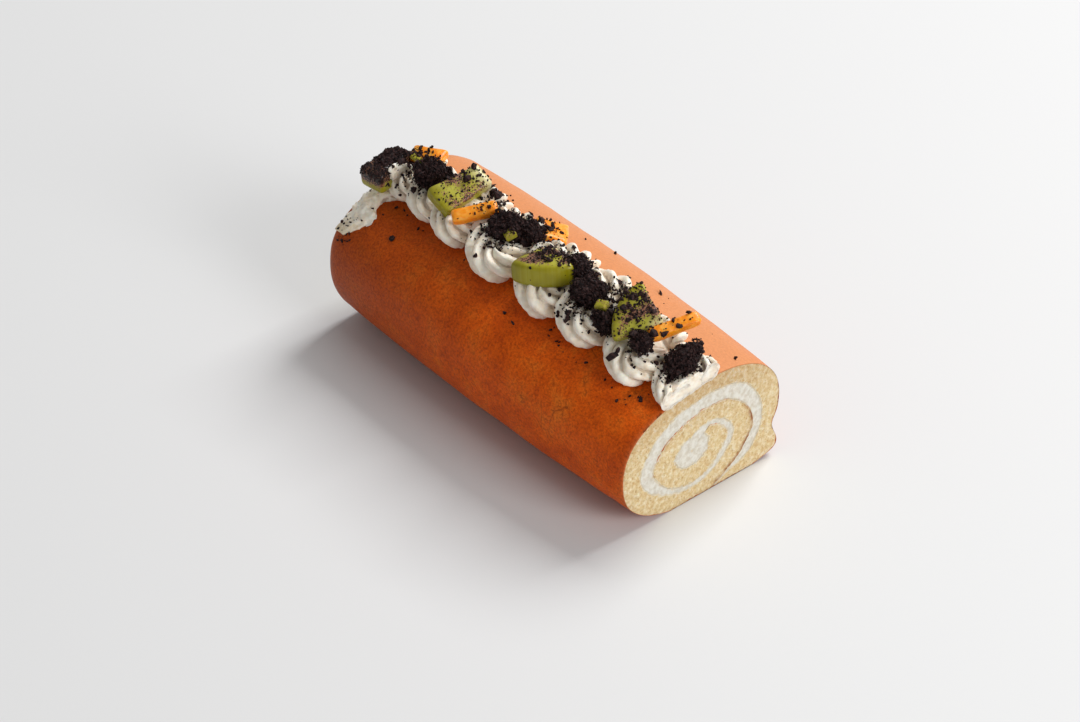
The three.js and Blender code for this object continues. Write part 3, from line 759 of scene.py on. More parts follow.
def cream_material(name, light, shade, streak, roughness):
    """Cream: two close tones mixed by noise of `streak` mm, fine bumps, soft scattering."""
    material, tree, place = new_material(name)
    drift = add_node(
        tree,
        "TexNoise",
        {"Vector": place, "Scale": per_mm(streak), "Detail": 4.0, "Roughness": 0.6},
    )
    tone = add_node(tree, "ValToRGB", {"Fac": drift}, [(0.38, shade), (0.6, light)])
    grit = add_node(
        tree,
        "TexNoise",
        {"Vector": place, "Scale": per_mm(CREAM_GRIT), "Detail": 4.0, "Roughness": 0.7},
    )
    crumbed = add_node(tree, "Attribute", attribute_name="crumbed")
    near = add_node(tree, "Math", {0: crumbed, 1: grit}, operation="ADD")
    mixed_in = add_node(tree, "ValToRGB", {"Fac": near}, [(0.72, "#000000"), (0.92, "#C8C8C8")])
    hollow = add_node(tree, "Attribute", attribute_name="hollow")
    for amount, colour in ((mixed_in, SPONGE_YELLOW), (hollow, GROOVE_SHADE)):
        layers = {"Factor": amount, UNDER: tone, OVER: colour}
        tone = add_node(tree, "Mix", layers, data_type="RGBA")
    bumps = {"Height": drift, "Strength": 0.2, "Distance": CREAM_RELIEF * MM}
    looks = {
        "Base Color": tone,
        "Roughness": roughness,
        "Specular IOR Level": 0.4,
        "Normal": add_node(tree, "Bump", bumps),
        "Subsurface Weight": 0.3,
        "Subsurface Radius": (1.0, 0.8, 0.6),
        "Subsurface Scale": 2.0 * MM,
    }
    add_node(tree, "OutputMaterial", {"Surface": add_node(tree, "BsdfPrincipled", looks)})
    print(name, len(tree.nodes), "nodes")
    return material


filling_material = cream_material("knife_cut_cream", FILLING_WHITE, FILLING_SHADE, 2.5, 0.6)
piped_material = cream_material("piped_whipped_cream", PIPED_WHITE, PIPED_SHADE, 4.0, 0.45)

# %% [markdown]
# The cream between the turns could be cut out of the sponge, but it shows the same
# ragged line from its own side, so it is a second grid like the sheet's. Past the end of
# the sheet it fills the core. The knife leaves faint streaks across its cut.

# %% Cream filling
CREAM_FROM = -52  # degrees: the cream begins a little before it shows
CREAM_STEP = 1.0
CUT_IN = 0.15  # mm that the cream's cut lies behind the sponge's
SPONGE_IN_CREAM = 0.7  # mm from the sponge that crumbs of it are found in the cream

degrees = np.arange(CREAM_FROM, LAST + 1, CREAM_STEP)
outer = cream_outer(degrees)
inner = np.where(degrees <= SHEET_END, cream_inner(degrees), 0.0)
across, x = ring_of_places(16, 2, 8, 4)
points = spiral_points(degrees, outer, inner, across, x)
facing = cut_faces(x)
streaks = 0.2 * soft_noise(points * (1, 1, 0.45), 2.6, 41)
streaks = streaks + 0.1 * soft_noise(points, 0.9, 42)
points[..., 0] += facing * (streaks - CUT_IN)
rows, columns = points.shape[:2]
filling = new_piece("cream_layer", points, ring_faces(rows, columns), [filling_material])
close_ends(filling, rows, columns)
to_sponge = np.minimum(across, 1 - across) * (outer - inner)[:, None]
crumbed = 0.5 * np.exp(-to_sponge / SPONGE_IN_CREAM) * (facing != 0)
set_attribute(filling, "crumbed", crumbed)
tidy_mesh(filling)
onto_cake(filling, "cream_filling", "cream_filling")

# %% [markdown]
# ### Piped swirls
# Each swirl is cream squeezed from a star nozzle that goes once round, so its ridges
# wind round the cream like the strands of a rope. A curve with a star-shaped bevel
# could make the rope, but not sit it onto the roll. Here a tube is carried along the
# loop, its radius is R (1 - d (1 - |cos(n a / 2)|)) round the section, which gives broad
# crests and sharp grooves, and what would be inside the roll is lifted to its skin.

# %% Swirls: the loop of the nozzle
ROW = -3.0  # mm: y of the row of swirls
CREAM_RADIUS, CREAM_LIFT = 0.52, 0.44  # shares of a swirl's height
CREAM_INSET = 0.8  # of the cream's radius that its path lies inside the outline
TIP_SHARE = 0.63  # of the span lies between the far edge and the tip at the front
NOZZLE_RIDGES = 5
RIDGE_DEPTH = 0.46
LOOP_START, LOOP_TURN = 18, 325  # degrees
TWIST = 14.0  # radians that the ridges wind along the loop
SWIRLS = [
    dict(x=-76, span=25, front=13.5, back=12, tall=12, turn=8),
    dict(x=-58, span=27, front=16, back=10.5, tall=13, turn=-6),
    dict(x=-38, span=31, front=18.5, back=12.5, tall=14, turn=4),
    dict(x=-10.5, span=34, front=22, back=10.5, tall=15, turn=10),
    dict(x=20, span=33, front=22.3, back=11.5, tall=15, turn=-4),
    dict(x=44.5, span=33, front=21.3, back=13, tall=15, turn=6),
    dict(x=72, span=30, front=21.5, back=11, tall=13, turn=14),
    dict(x=97, span=31, front=18, back=11, tall=8.5, turn=2),
]


def full_turn(count):
    """Angles once round, as one row."""
    return np.linspace(0, 2 * np.pi, count, endpoint=False)[None, :]


def pole_to_pole(rings):
    """Latitudes from one pole to the other, as one column."""
    return np.linspace(-np.pi / 2, np.pi / 2, rings)[:, None]


def swirl_path(swirl, t):
    """Plan of the nozzle's way: a loop drawn out towards the far end, and its radius."""
    angle = np.radians(LOOP_START + swirl["turn"] + LOOP_TURN * t)
    thick = swirl["tall"] * CREAM_RADIUS
    inset = thick * CREAM_INSET
    lengthways = swirl["span"] * np.where(np.cos(angle) < 0, TIP_SHARE, 1 - TIP_SHARE)
    sideways = np.where(np.sin(angle) < 0, swirl["front"], swirl["back"])
    x = swirl["x"] + (lengthways - inset) * np.cos(angle)
    y = ROW + (sideways - inset) * np.sin(angle)
    return x, y, thick


def onto_skin(points, sink=0.3):
    """Lifts what would be deep inside the roll to just under its skin."""
    floor_height = skin_height(points[..., 0], points[..., 1]) - sink
    points[..., 2] = np.maximum(points[..., 2], floor_height)
    return points


def tube_on_skin(middle, side, up, turn, wide, tall):
    """Rings round a line of points: wide cos(a) along the side and tall sin(a) upwards."""
    sideways = (wide * np.cos(turn))[..., None] * side[:, None]
    upwards = (tall * np.sin(turn))[..., None] * up[:, None]
    return onto_skin(middle[:, None] + sideways + upwards)


def swirl_loop(swirl, steps=190, around=120):
    """The ridged tube along the loop, drawn in at both ends."""
    t = np.linspace(0, 1, steps)
    x, y, thick = swirl_path(swirl, t)
    up = skin_normal(x, y)
    side = unit(np.cross(up, vectors(np.gradient(x), np.gradient(y), 0)))
    in_section = full_turn(around)
    ridge = np.abs(np.cos(NOZZLE_RIDGES / 2 * in_section))
    turn = in_section + (t * TWIST)[:, None]
    ends = np.clip(0.15 + 7 * np.minimum(t, 1 - t), 0, 1) ** 0.5
    radius = thick * (1 - RIDGE_DEPTH * (1 - ridge)) * ends[:, None]
    middle = vectors(x, y, skin_height(x, y)) + up * swirl["tall"] * CREAM_LIFT
    return tube_on_skin(middle, side, up, turn, radius, radius)


print(len(SWIRLS), "swirls from", SWIRLS[0]["x"], "to", SWIRLS[-1]["x"], "mm along the roll")

# %% [markdown]
# The nozzle leaves the middle of a loop filled with cream that it dragged round. A
# second, tighter loop could fill it, but toppings hide most of it, so a mound with
# grooves that wind inwards is enough. A grid that runs from pole to pole is closed by a
# point at each end, and several such shapes are put together as one mesh.

# %% Swirls: mound and joining
MOUND_DEPTH = 0.16  # of its radius
MOUND_LENGTH, MOUND_WIDTH, MOUND_HEIGHT = 0.38, 0.85, 0.85  # shares of the swirl's


def swirl_mound(swirl, rings=40, around=96):
    """A dome in the loop, with grooves that wind inwards: |cos(3a + 3r)| of its depth."""
    lat = pole_to_pole(rings)
    turn = full_turn(around)
    groove = 1 - np.abs(np.cos(3 * turn + 2.5 * np.cos(lat)))
    wind = 1 - MOUND_DEPTH * groove * np.cos(lat)
    out = np.cos(lat) * wind
    deep = (swirl["front"] + swirl["back"]) / 2
    x = swirl["x"] - swirl["span"] * (TIP_SHARE - 0.5)
    y = ROW + (swirl["back"] - swirl["front"]) / 2
    base = skin_height(x, y)
    x = x + swirl["span"] * MOUND_LENGTH * np.cos(turn) * out
    y = y + deep * MOUND_WIDTH * np.sin(turn) * out
    z = base + swirl["tall"] * MOUND_HEIGHT * np.sin(lat) * wind
    return onto_skin(vectors(x, y, z))


def closed_grid(points):
    """Points and faces of a tube of rings, with a pole added to close each end."""
    rings, around = points.shape[:2]
    poles = np.stack([points[0].mean(axis=0), points[-1].mean(axis=0)])
    quads = ring_faces(rings, around).tolist()
    start, end = rings * around, rings * around + 1
    ring = np.arange(around)
    after = (ring + 1) % around
    last = (rings - 1) * around
    caps = [(start, int(b), int(a)) for a, b in zip(ring, after)]
    caps += [(end, last + int(a), last + int(b)) for a, b in zip(ring, after)]
    return np.concatenate([points.reshape(-1, 3), poles]), quads + caps


def joined(parts):
    """Several meshes as one list of points and one of faces."""
    points, faces, count = [], [], 0
    for part_points, part_faces in parts:
        points.append(part_points)
        faces += [[count + i for i in face] for face in part_faces]
        count += len(part_points)
    return np.concatenate(points), faces


print("first mound:", swirl_mound(SWIRLS[0]).shape[:2], "points")

# %% [markdown]
# From the first swirl cream has run down the front of the far rim, and a dab of it is on
# the side of the first wedge. Both could be sculpted by hand. Here the run is a flat
# tongue through a few spots of given width, and the dab is an uneven ball.

# %% Swirls: smear and dab
SMEAR = [  # x, y, half width, thickness
    (-82.5, -10, 10.5, 5), (-87, -17.5, 6.3, 4), (-87.3, -23.4, 5.7, 3), (-85.6, -28, 7, 2.4),
    (-87, -33, 5.8, 1.6), (-91.5, -37.5, 3, 0.9),
]
SPOT_PITCH, RIM_REACH = 5, 6  # mm: the line that the ragged rim's noise is read along
DAB = ((-79.6, -13.5, 75.2), (2.1, 8.0, 5.0))  # place and half sizes


def smear_points(steps=60, around=40):
    """The cream that ran down the far rim: a flat tongue through the smear's spots."""
    spots = np.array(SMEAR, float)
    at = np.linspace(0, len(spots) - 1, steps)
    x, y, wide, thick = (smooth_curve(list(enumerate(column)), at) for column in spots.T)
    up = skin_normal(x, y)
    side = unit(np.array([1.0, 0, 0]) - up * up[:, :1])
    turn = full_turn(around)
    line = vectors(at[:, None] * SPOT_PITCH, RIM_REACH * np.cos(turn), RIM_REACH * np.sin(turn))
    ragged = 1 + 0.22 * soft_noise(line, 2.2, 51) + 0.2 * soft_noise(line, 0.9, 52)
    wide, thick = wide[:, None] * ragged, thick[:, None] * ragged
    return tube_on_skin(vectors(x, y, skin_height(x, y)), side, up, turn, wide, thick)


def lobe(at, size, seed, rings=30, around=44):
    """A lump of cream or of crumbs: an ellipsoid whose radius wanders by a third."""
    lat = pole_to_pole(rings)
    turn = full_turn(around)
    ball = vectors(np.cos(lat) * np.cos(turn), np.cos(lat) * np.sin(turn), np.sin(lat))
    lumps = 0.88 + 0.25 * soft_noise(ball, 0.75, seed) + 0.16 * soft_noise(ball, 0.3, seed + 1)
    return ball * lumps[..., None] * np.array(size) + np.array(at)


print("smear:", smear_points().shape[:2], "points")

# %% [markdown]
# Cream flows together where it touches. A Boolean modifier would join the shapes but
# leave sharp seams, so a voxel remesh melts them into one skin, and a light smoothing
# takes off its steps. The remesh makes a new mesh, so its points are read back from it.

# %% Melting shapes together
def melt(piece, voxel):
    """Joins what overlaps by a voxel remesh, then relaxes it a little."""
    remesh = piece.modifiers.new("melt", "REMESH")
    remesh.mode = "VOXEL"
    remesh.voxel_size = voxel * MM
    remesh.use_smooth_shade = True
    relax = piece.modifiers.new("relax", "SMOOTH")
    relax.factor = 0.5
    relax.iterations = 2
    bpy.context.view_layer.update()
    evaluated = piece.evaluated_get(bpy.context.evaluated_depsgraph_get())
    melted = bpy.data.meshes.new_from_object(evaluated)
    materials = list(piece.data.materials)
    piece.modifiers.clear()
    piece.data = melted
    piece.data.materials.clear()
    for material in materials:
        piece.data.materials.append(material)
    shade_smooth(melted, True)


def vectors_of(items, name):
    """One vector for each of a mesh's items, as an array."""
    flat = np.empty(len(items) * 3)
    items.foreach_get(name, flat)
    return flat.reshape(-1, 3)


def mesh_points(piece):
    """The piece's points in millimetres."""
    return vectors_of(piece.data.vertices, "co") / MM


def mesh_normals(piece):
    """The piece's vertex normals."""
    return vectors_of(piece.data.vertex_normals, "vector")


def move_points(piece, points):
    """Puts the piece's points, given in millimetres, where they should be."""
    piece.data.vertices.foreach_set("co", (points * MM).ravel())
    piece.data.update()


# %% [markdown]
# The grooves of piped cream are a little browner than shadow alone makes them, because
# little of the light that goes into them comes out again. An ambient occlusion node
# could darken them, but an export would lose it. So each point is compared with its
# neighbours, and how far it lies below them is stored for the material.

# %% How hollow each place is
def hollowness(piece, passes=5):
    """How far each point lies below the mean of its neighbours, along its normal, in mm."""
    ends = np.empty(len(piece.data.edges) * 2, dtype=np.int64)
    piece.data.edges.foreach_get("vertices", ends)
    a, b = ends.reshape(-1, 2).T
    points, normals = mesh_points(piece), mesh_normals(piece)
    count = np.bincount(ends, minlength=len(points))

    def neighbours(values):
        total = np.bincount(a, values[b], len(points)) + np.bincount(b, values[a], len(points))
        return total / np.maximum(count, 1)

    mean = np.stack([neighbours(column) for column in points.T], axis=-1)
    below = ((mean - points) * normals).sum(axis=1)
    for _ in range(passes):
        below = (below + neighbours(below)) / 2
    return below


# %% [markdown]
# Piped cream isn't smooth: it tears a little on the nozzle's teeth, so the melted swirl
# is roughened. The last one was sliced with the cake and ends flat there.

# %% Swirls
SWIRL_VOXEL = 0.38  # mm
GROOVE_DEPTH = 0.02  # mm below the neighbours that counts as a groove
TORN = ((0.45, 4.5), (0.22, 1.5))  # mm deep, mm across
SMEAR_FRONT = -24  # y where the smear begins, which has no grooves
SMEAR_CRUMBED = -30  # y from where crumbs of sponge are in it

swirls = []
for number, swirl in enumerate(SWIRLS, start=1):
    parts = [closed_grid(swirl_loop(swirl)), closed_grid(swirl_mound(swirl))]
    if number == 1:
        parts += [closed_grid(smear_points()), closed_grid(lobe(*DAB, 55))]
    points, faces = joined(parts)
    piece = new_piece(f"piped_swirl_{number}", points, faces, [piped_material])
    melt(piece, SWIRL_VOXEL)
    points = mesh_points(piece)
    rough = sum(deep * soft_noise(points, size, 44 + i) for i, (deep, size) in enumerate(TORN))
    points = points + mesh_normals(piece) * rough[:, None]
    sliced = END - 0.1 + 0.15 * soft_noise(points, 2.0, 43)
    points[:, 0] = np.minimum(points[:, 0], sliced)
    move_points(piece, points)
    hollow = np.clip(hollowness(piece) / GROOVE_DEPTH, 0, 0.6)
    hollow = hollow * np.clip((points[:, 1] - SMEAR_FRONT) / 4, 0, 1)
    set_attribute(piece, "hollow", hollow)
    if number == 1:
        down_the_rim = np.clip((SMEAR_CRUMBED - points[:, 1]) / 8, 0, 1)
        set_attribute(piece, "crumbed", 0.48 * down_the_rim)
    onto_cake(piece, "piped_cream", f"cream_swirl_{number}")
    swirls.append(piece)

# %% [markdown]
# ## Fruit
# The green fruit is a slice of kiwi cut into wedges. Its flesh is wet and half clear, so
# it is pale round the core, has pale rays, and turns deep where the dark behind it shows
# through. A drawing of a slice could be laid on, but each wedge is cut from its own
# place in a slice, so the mesh carries how far from the core and how far round it is.

# %% Green flesh
FLESH_GREEN = "#AEA834"
FLESH_RIM = "#988E08"
FLESH_CORE = "#DACF9A"
FLESH_RAY = "#C3C26A"
FLESH_DEEP = "#5E5606"
CLEAR_PATCH = 9.0  # mm

green_material, tree, place = new_material("kiwi_flesh")
from_axis = add_node(tree, "Attribute", attribute_name="from_axis")
round_axis = add_node(tree, "Attribute", attribute_name="round_axis")
tones = [(0.08, FLESH_CORE), (0.3, FLESH_GREEN), (0.8, FLESH_GREEN), (0.97, FLESH_RIM)]
tone = add_node(tree, "ValToRGB", {"Fac": from_axis}, tones)
fan = add_node(tree, "CombineXYZ", {"X": round_axis, "Y": from_axis})
rays = add_node(tree, "TexNoise", {"Vector": fan, "Scale": 1.0, "Detail": 3.0})
pale = add_node(tree, "ValToRGB", {"Fac": rays}, [(0.45, "#000000"), (0.7, "#808080")])
depths = {"Vector": place, "Scale": per_mm(CLEAR_PATCH), "Detail": 1.0}
depth = add_node(tree, "TexNoise", depths)
clear = add_node(tree, "ValToRGB", {"Fac": depth}, [(0.46, "#000000"), (0.66, "#A0A0A0")])
for amount, colour in ((pale, FLESH_RAY), (clear, FLESH_DEEP)):
    layers = {"Factor": amount, UNDER: tone, OVER: colour}
    tone = add_node(tree, "Mix", layers, data_type="RGBA")

# %% [markdown]
# The finest crumbs lie on the fruit as a brown dust. As meshes they would be far too
# many, so the dust is painted in the material: each cell of a fine Voronoi pattern is a
# grain, and it shows where the cell's random number is below what the mesh says.

# %% Dust on the green flesh
DUST_DARK = "#1F120F"
DUST_BROWN = "#94664E"
DUST_GRAIN = 0.38  # mm; real dust is finer and wouldn't show
DUST_RELIEF = 0.2  # mm

grains = add_node(tree, "TexVoronoi", {"Vector": place, "Scale": per_mm(DUST_GRAIN)})
chance = add_node(tree, "SeparateColor", {"Color": grains.outputs["Color"]})
red, green = chance.outputs["Red"], chance.outputs["Green"]
dusted = add_node(tree, "Attribute", attribute_name="dusted")
dust = add_node(tree, "Math", {0: red, 1: dusted}, operation="LESS_THAN")
paler = add_node(tree, "Math", {0: dusted, 1: -0.4, 2: green}, operation="MULTIPLY_ADD")
dust_tone = add_node(tree, "ValToRGB", {"Fac": paler}, [(0.0, DUST_DARK), (0.22, DUST_BROWN)])
layers = {"Factor": dust, UNDER: tone, OVER: dust_tone}
tone = add_node(tree, "Mix", layers, data_type="RGBA")
bumps = {"Height": dust, "Strength": 0.4, "Distance": DUST_RELIEF * MM}
looks = {
    "Base Color": tone,
    "Roughness": 0.36,
    "Specular IOR Level": 0.35,
    "Normal": add_node(tree, "Bump", bumps),
    "Subsurface Weight": 0.25,
    "Subsurface Radius": (0.7, 1.0, 0.25),
    "Subsurface Scale": 2 * MM,
}
add_node(tree, "OutputMaterial", {"Surface": add_node(tree, "BsdfPrincipled", looks)})
print(green_material.name, len(tree.nodes), "nodes")

# %% [markdown]
# Citrus flesh is packed with juice sacs. Cut into strips it is wet and bright orange,
# with slightly paler and deeper sacs, and light goes deep into it.

# %% Citrus flesh
CITRUS_ORANGE = "#F9981C"
CITRUS_DEEP = "#EC8410"
CITRUS_PALE = "#FDB24C"
SAC = 3.0  # mm across a juice sac
CITRUS_RELIEF = 0.5  # mm

citrus_material, tree, place = new_material("citrus_flesh")
sacs = add_node(
    tree, "TexNoise", {"Vector": place, "Scale": per_mm(SAC), "Detail": 3.0, "Roughness": 0.5}
)
tones = [(0.35, CITRUS_DEEP), (0.5, CITRUS_ORANGE), (0.68, CITRUS_PALE)]
bumps = {"Height": sacs, "Strength": 0.15, "Distance": CITRUS_RELIEF * MM}
looks = {
    "Base Color": add_node(tree, "ValToRGB", {"Fac": sacs}, tones),
    "Roughness": 0.35,
    "IOR": 1.36,
    "Normal": add_node(tree, "Bump", bumps),
    "Subsurface Weight": 0.4,
    "Subsurface Radius": (1.0, 0.5, 0.1),
    "Subsurface Scale": 3 * MM,
    "Coat Weight": 0.15,
    "Coat Roughness": 0.2,
}
add_node(tree, "OutputMaterial", {"Surface": add_node(tree, "BsdfPrincipled", looks)})
print(citrus_material.name, len(tree.nodes), "nodes")

# %% [markdown]
# Each piece of fruit could be modelled by hand, but all are flat cuts. A wedge of a
# slice and a strip differ only in their outline, so one function makes a slab with
# rounded edges from any outline, and another lays it where the piece belongs.

# %% Fruit: where each piece lies
WEDGES = [  # mm, but `open` in degrees; `dust` is how much and from what height on
    dict(at=(-85.5, -15.2, 74), face=(0, -0.08, 1), long=(0.15, -1, -0.05),
         radius=61, tip=39, open=12, thick=11, dust=(2.0, -0.3)),
    dict(at=(-46.2, -7.5, 79.8), face=(0.42, -0.2, 0.88), long=(-0.06, -1, -0.16),
         radius=97, tip=72, open=8.5, thick=8, dust=(1.1, 0.5)),
    dict(at=(16.5, -14.8, 77.6), face=(-0.11, 0.01, 1), long=(0.6, -0.8, 0),
         radius=23.5, tip=6, open=70, thick=11, dust=(1.6, 0.5)),
    dict(at=(66.2, -9.2, 78.4), face=(0.5, -0.42, 0.76), long=(-0.55, -0.4, 0.3),
         radius=22, tip=3, open=75, thick=6.5, dust=(0.95, 0.4)),
]
STRIPS = [
    dict(at=(-78.5, 1.5, 77), face=(0, -0.2, 1), long=(0.9, 0.44, 0), size=(16, 8, 5)),
    dict(at=(-30.5, -13, 79.2), face=(0.2, -0.4, 0.9), long=(10.8, 16.2, 2), size=(19.5, 6.2, 5)),
    dict(at=(-5, 7, 74.3), face=(0.1, 0.25, 0.96), long=(0.7, 0.7, 0), size=(14, 15, 4)),
    dict(at=(79, -1.8, 77), face=(0.3, -0.3, 0.9), long=(6.5, 19.2, 2.5), size=(21.5, 5.4, 5)),
]
BITS = [
    dict(at=(-71.8, -8.5, 82.5), face=(0, 0, 1), long=(1, 0, -0.45), size=(12, 2.6, 2)),
    dict(at=(-8.8, -12, 79.5), face=(0, -0.4, 1), long=(0.3, 1, 0), size=(5, 4, 4)),
    dict(at=(52.2, -16, 79.2), face=(0, -0.4, 1), long=(1, 0.4, 0), size=(5, 4, 4)),
]


def laid(points, piece):
    """Turns a shape drawn flat round the origin so that it lies as the piece says."""
    face = unit(np.array(piece["face"], float))
    across = unit(np.cross(face, piece["long"]))
    axes = np.stack([np.cross(across, face), across, face])
    return points @ axes + np.array(piece["at"])


print(len(WEDGES), "wedges,", len(STRIPS), "strips,", len(BITS), "bits")


# %% Fruit: outlines and slabs
def wedge_outline(piece, turn):
    """Reach of a wedge's outline from its middle: the nearest of its rim, sides and tip."""
    half = math.radians(piece["open"]) / 2
    middle = (piece["radius"] + piece["tip"]) / 2
    c, s = np.cos(turn), np.sin(turn)
    rim = -middle * c + np.sqrt(np.maximum(piece["radius"] ** 2 - (middle * s) ** 2, 0))
    lean = np.abs(s) * math.cos(half) - c * math.sin(half)
    side = np.where(lean > 1e-6, middle * math.sin(half) / np.maximum(lean, 1e-6), 1e3)
    to_tip = middle - piece["tip"] * math.cos(half)
    tip = np.where(c < -1e-6, to_tip / np.maximum(-c, 1e-6), 1e3)
    return np.minimum(np.minimum(rim, side), tip)


def block_outline(piece, turn):
    """Reach of a cut strip's outline from its middle: the nearer of its sides."""
    long, wide, _ = piece["size"]
    c, s = np.abs(np.cos(turn)), np.abs(np.sin(turn))
    return np.minimum(long / 2 / np.maximum(c, 1e-6), wide / 2 / np.maximum(s, 1e-6))


def softened(reach, passes):
    """Rounds the corners of a closed outline by averaging each reach with its neighbours."""
    for _ in range(passes):
        reach = (np.roll(reach, 1) + 2 * reach + np.roll(reach, -1)) / 4
    return reach


def slab_points(reach, turn, thick, seed, rings=44, sharpness=5.0, uneven=0.35):
    """A slab: scale (1-|w|^p)^(1/p) of the outline at height w*thick/2, w from 1 to -1."""
    lat = -pole_to_pole(rings)
    scale = np.abs(np.cos(lat)) ** (2 / sharpness)
    height = np.sign(np.sin(lat)) * np.abs(np.sin(lat)) ** (2 / sharpness)
    flat = reach * scale
    points = vectors(flat * np.cos(turn), flat * np.sin(turn), height * thick / 2)
    dents = np.stack([soft_noise(points, 5.0, seed + i) for i in range(3)], axis=-1)
    return points + uneven * dents


# %% [markdown]
# A wedge keeps two numbers of the slice that it was cut from: how far from the core and
# how far round each point is. Its own height gives where dust has settled. The first
# wedge is covered all over, and on the others the dust keeps off the rim and the core
# and lies in patches.

# %% Fruit: wedges
fruit = []


def serve(piece, slot, node):
    """Puts a finished piece of fruit on the cake."""
    tidy_mesh(piece)
    onto_cake(piece, slot, node)
    fruit.append(piece)


TURN = full_turn(160)[0]
RAYS = 14  # pale rays in a radian of a slice of the usual size
USUAL_RADIUS = 20  # mm
DUST_FADE = 0.3  # of half the thickness
DUST_PATCH, DUST_CLUMP = 4.5, 2.0  # mm

for number, wedge in enumerate(WEDGES, start=1):
    reach = softened(wedge_outline(wedge, TURN), 3)
    flat = slab_points(reach, TURN, wedge["thick"], 60 + number)
    from_tip = flat[..., 0] + (wedge["radius"] + wedge["tip"]) / 2
    from_axis = np.hypot(from_tip, flat[..., 1]) - wedge["tip"]
    from_axis = from_axis / (wedge["radius"] - wedge["tip"])
    round_axis = RAYS * np.arctan2(flat[..., 1], from_tip) * wedge["radius"] / USUAL_RADIUS
    amount, lowest = wedge["dust"]
    height = flat[..., 2] / wedge["thick"] * 2
    dusted = amount * np.clip((height - lowest) / DUST_FADE, 0, 1)
    if number > 1:
        dusted = dusted * np.clip(1.3 - ((from_axis - 0.5) / 0.36) ** 2, 0, 1)
        patches = soft_noise(flat, DUST_PATCH, 95 + number)
        dusted = dusted * np.clip(0.75 + 1.6 * patches, 0, 1)
    dusted = dusted * (1 + 0.4 * soft_noise(flat, DUST_CLUMP, 90 + number))
    points, faces = closed_grid(laid(flat, wedge))
    piece = new_piece(f"kiwi_wedge_{number}", points, faces, [green_material])
    carried = {"from_axis": from_axis, "round_axis": round_axis, "dusted": dusted}
    for name, values in carried.items():
        poles = values[[0, -1]].mean(axis=1)
        set_attribute(piece, name, np.append(values.ravel(), poles))
    serve(piece, "green_fruit", f"green_fruit_wedge_{number}")

# %% [markdown]
# The strips of citrus fruit and the bits of green fruit are blocks with soft edges. The
# green bits are all flesh from near the rim, with little dust.

# %% Fruit: strips and bits
def cut_block(name, block, material, seed, uneven):
    """A block of fruit with rounded edges, laid where it belongs."""
    reach = softened(block_outline(block, TURN), 4)
    thick = block["size"][2]
    flat = slab_points(reach, TURN, thick, seed, sharpness=4.0, uneven=uneven)
    points, faces = closed_grid(laid(flat, block))
    return new_piece(name, points, faces, [material])


for number, strip in enumerate(STRIPS, start=1):
    piece = cut_block(f"citrus_strip_{number}", strip, citrus_material, 80 + number, 0.35)
    serve(piece, "citrus_fruit", f"citrus_strip_{number}")

for number, bit in enumerate(BITS, start=1):
    piece = cut_block(f"kiwi_bit_{number}", bit, green_material, 80 + number, 0.25)
    count = len(piece.data.vertices)
    set_attribute(piece, "from_axis", np.full(count, 0.9))
    set_attribute(piece, "dusted", np.full(count, 0.15))
    serve(piece, "green_fruit", f"green_fruit_bit_{number}")

# %% [markdown]
# ## Biscuit crumbs
# The crumbs are ground cocoa biscuit: hard, angular and almost black, with a dull brown
# break here and there. A particle system could scatter them, but it would be lost when
# the model is exported, so each crumb is a small mesh of twenty faces, and thousands are
# made at once as one array: a base shape, turned, stretched and moved for each crumb.

# %% Crumb material
CRUMB_BLACK = "#0B0508"
CRUMB_BROWN = "#4A2E2A"
CRUMB_SPECK = 1.2  # mm
CRUMB_RELIEF = 0.3  # mm

crumb_material, tree, place = new_material("cocoa_biscuit_crumb")
specks = add_node(
    tree,
    "TexNoise",
    {"Vector": place, "Scale": per_mm(CRUMB_SPECK), "Detail": 3.0, "Roughness": 0.7},
)
bumps = {"Height": specks, "Strength": 0.8, "Distance": CRUMB_RELIEF * MM}
looks = {
    "Base Color": add_node(
        tree, "ValToRGB", {"Fac": specks}, [(0.4, CRUMB_BLACK), (0.75, CRUMB_BROWN)]
    ),
    "Roughness": 0.7,
    "Specular IOR Level": 0.2,
    "Normal": add_node(tree, "Bump", bumps),
}
add_node(tree, "OutputMaterial", {"Surface": add_node(tree, "BsdfPrincipled", looks)})
print(crumb_material.name, len(tree.nodes), "nodes")

# %% Crumbs as one array
def base_crumb():
    """The shape that every crumb starts from: twelve corners and twenty triangles."""
    ball = bmesh.new()
    bmesh.ops.create_icosphere(ball, subdivisions=1, radius=1.0)
    points = np.array([vertex.co for vertex in ball.verts])
    faces = np.array([[vertex.index for vertex in face.verts] for face in ball.faces])
    ball.free()
    return points, faces


def random_turns(random, count):
    """Random rotations from unit quaternions."""
    w, x, y, z = random.normal(size=(4, count)) + 1e-9
    w, x, y, z = np.array([w, x, y, z]) / np.sqrt(w * w + x * x + y * y + z * z)
    rows = [
        [1 - 2 * (y * y + z * z), 2 * (x * y - z * w), 2 * (x * z + y * w)],
        [2 * (x * y + z * w), 1 - 2 * (x * x + z * z), 2 * (y * z - x * w)],
        [2 * (x * z - y * w), 2 * (y * z + x * w), 1 - 2 * (x * x + y * y)],
    ]
    return np.moveaxis(np.array(rows), -1, 0)


def crumbs_at(places, sizes, seed):
    """A crumb at each place: the base shape with uneven corners, stretched and turned."""
    random = np.random.default_rng(seed)
    base, base_faces = base_crumb()
    count = len(places)
    corners = base * random.uniform(0.55, 1.25, (count, len(base), 1))
    corners = corners * random.uniform(0.35, 1.45, (count, 1, 3)) * sizes[:, None, None]
    turned = np.einsum("nij,nkj->nki", random_turns(random, count), corners)
    faces = base_faces[None] + (np.arange(count) * len(base))[:, None, None]
    return (turned + places[:, None]).reshape(-1, 3), faces.reshape(-1, 3)


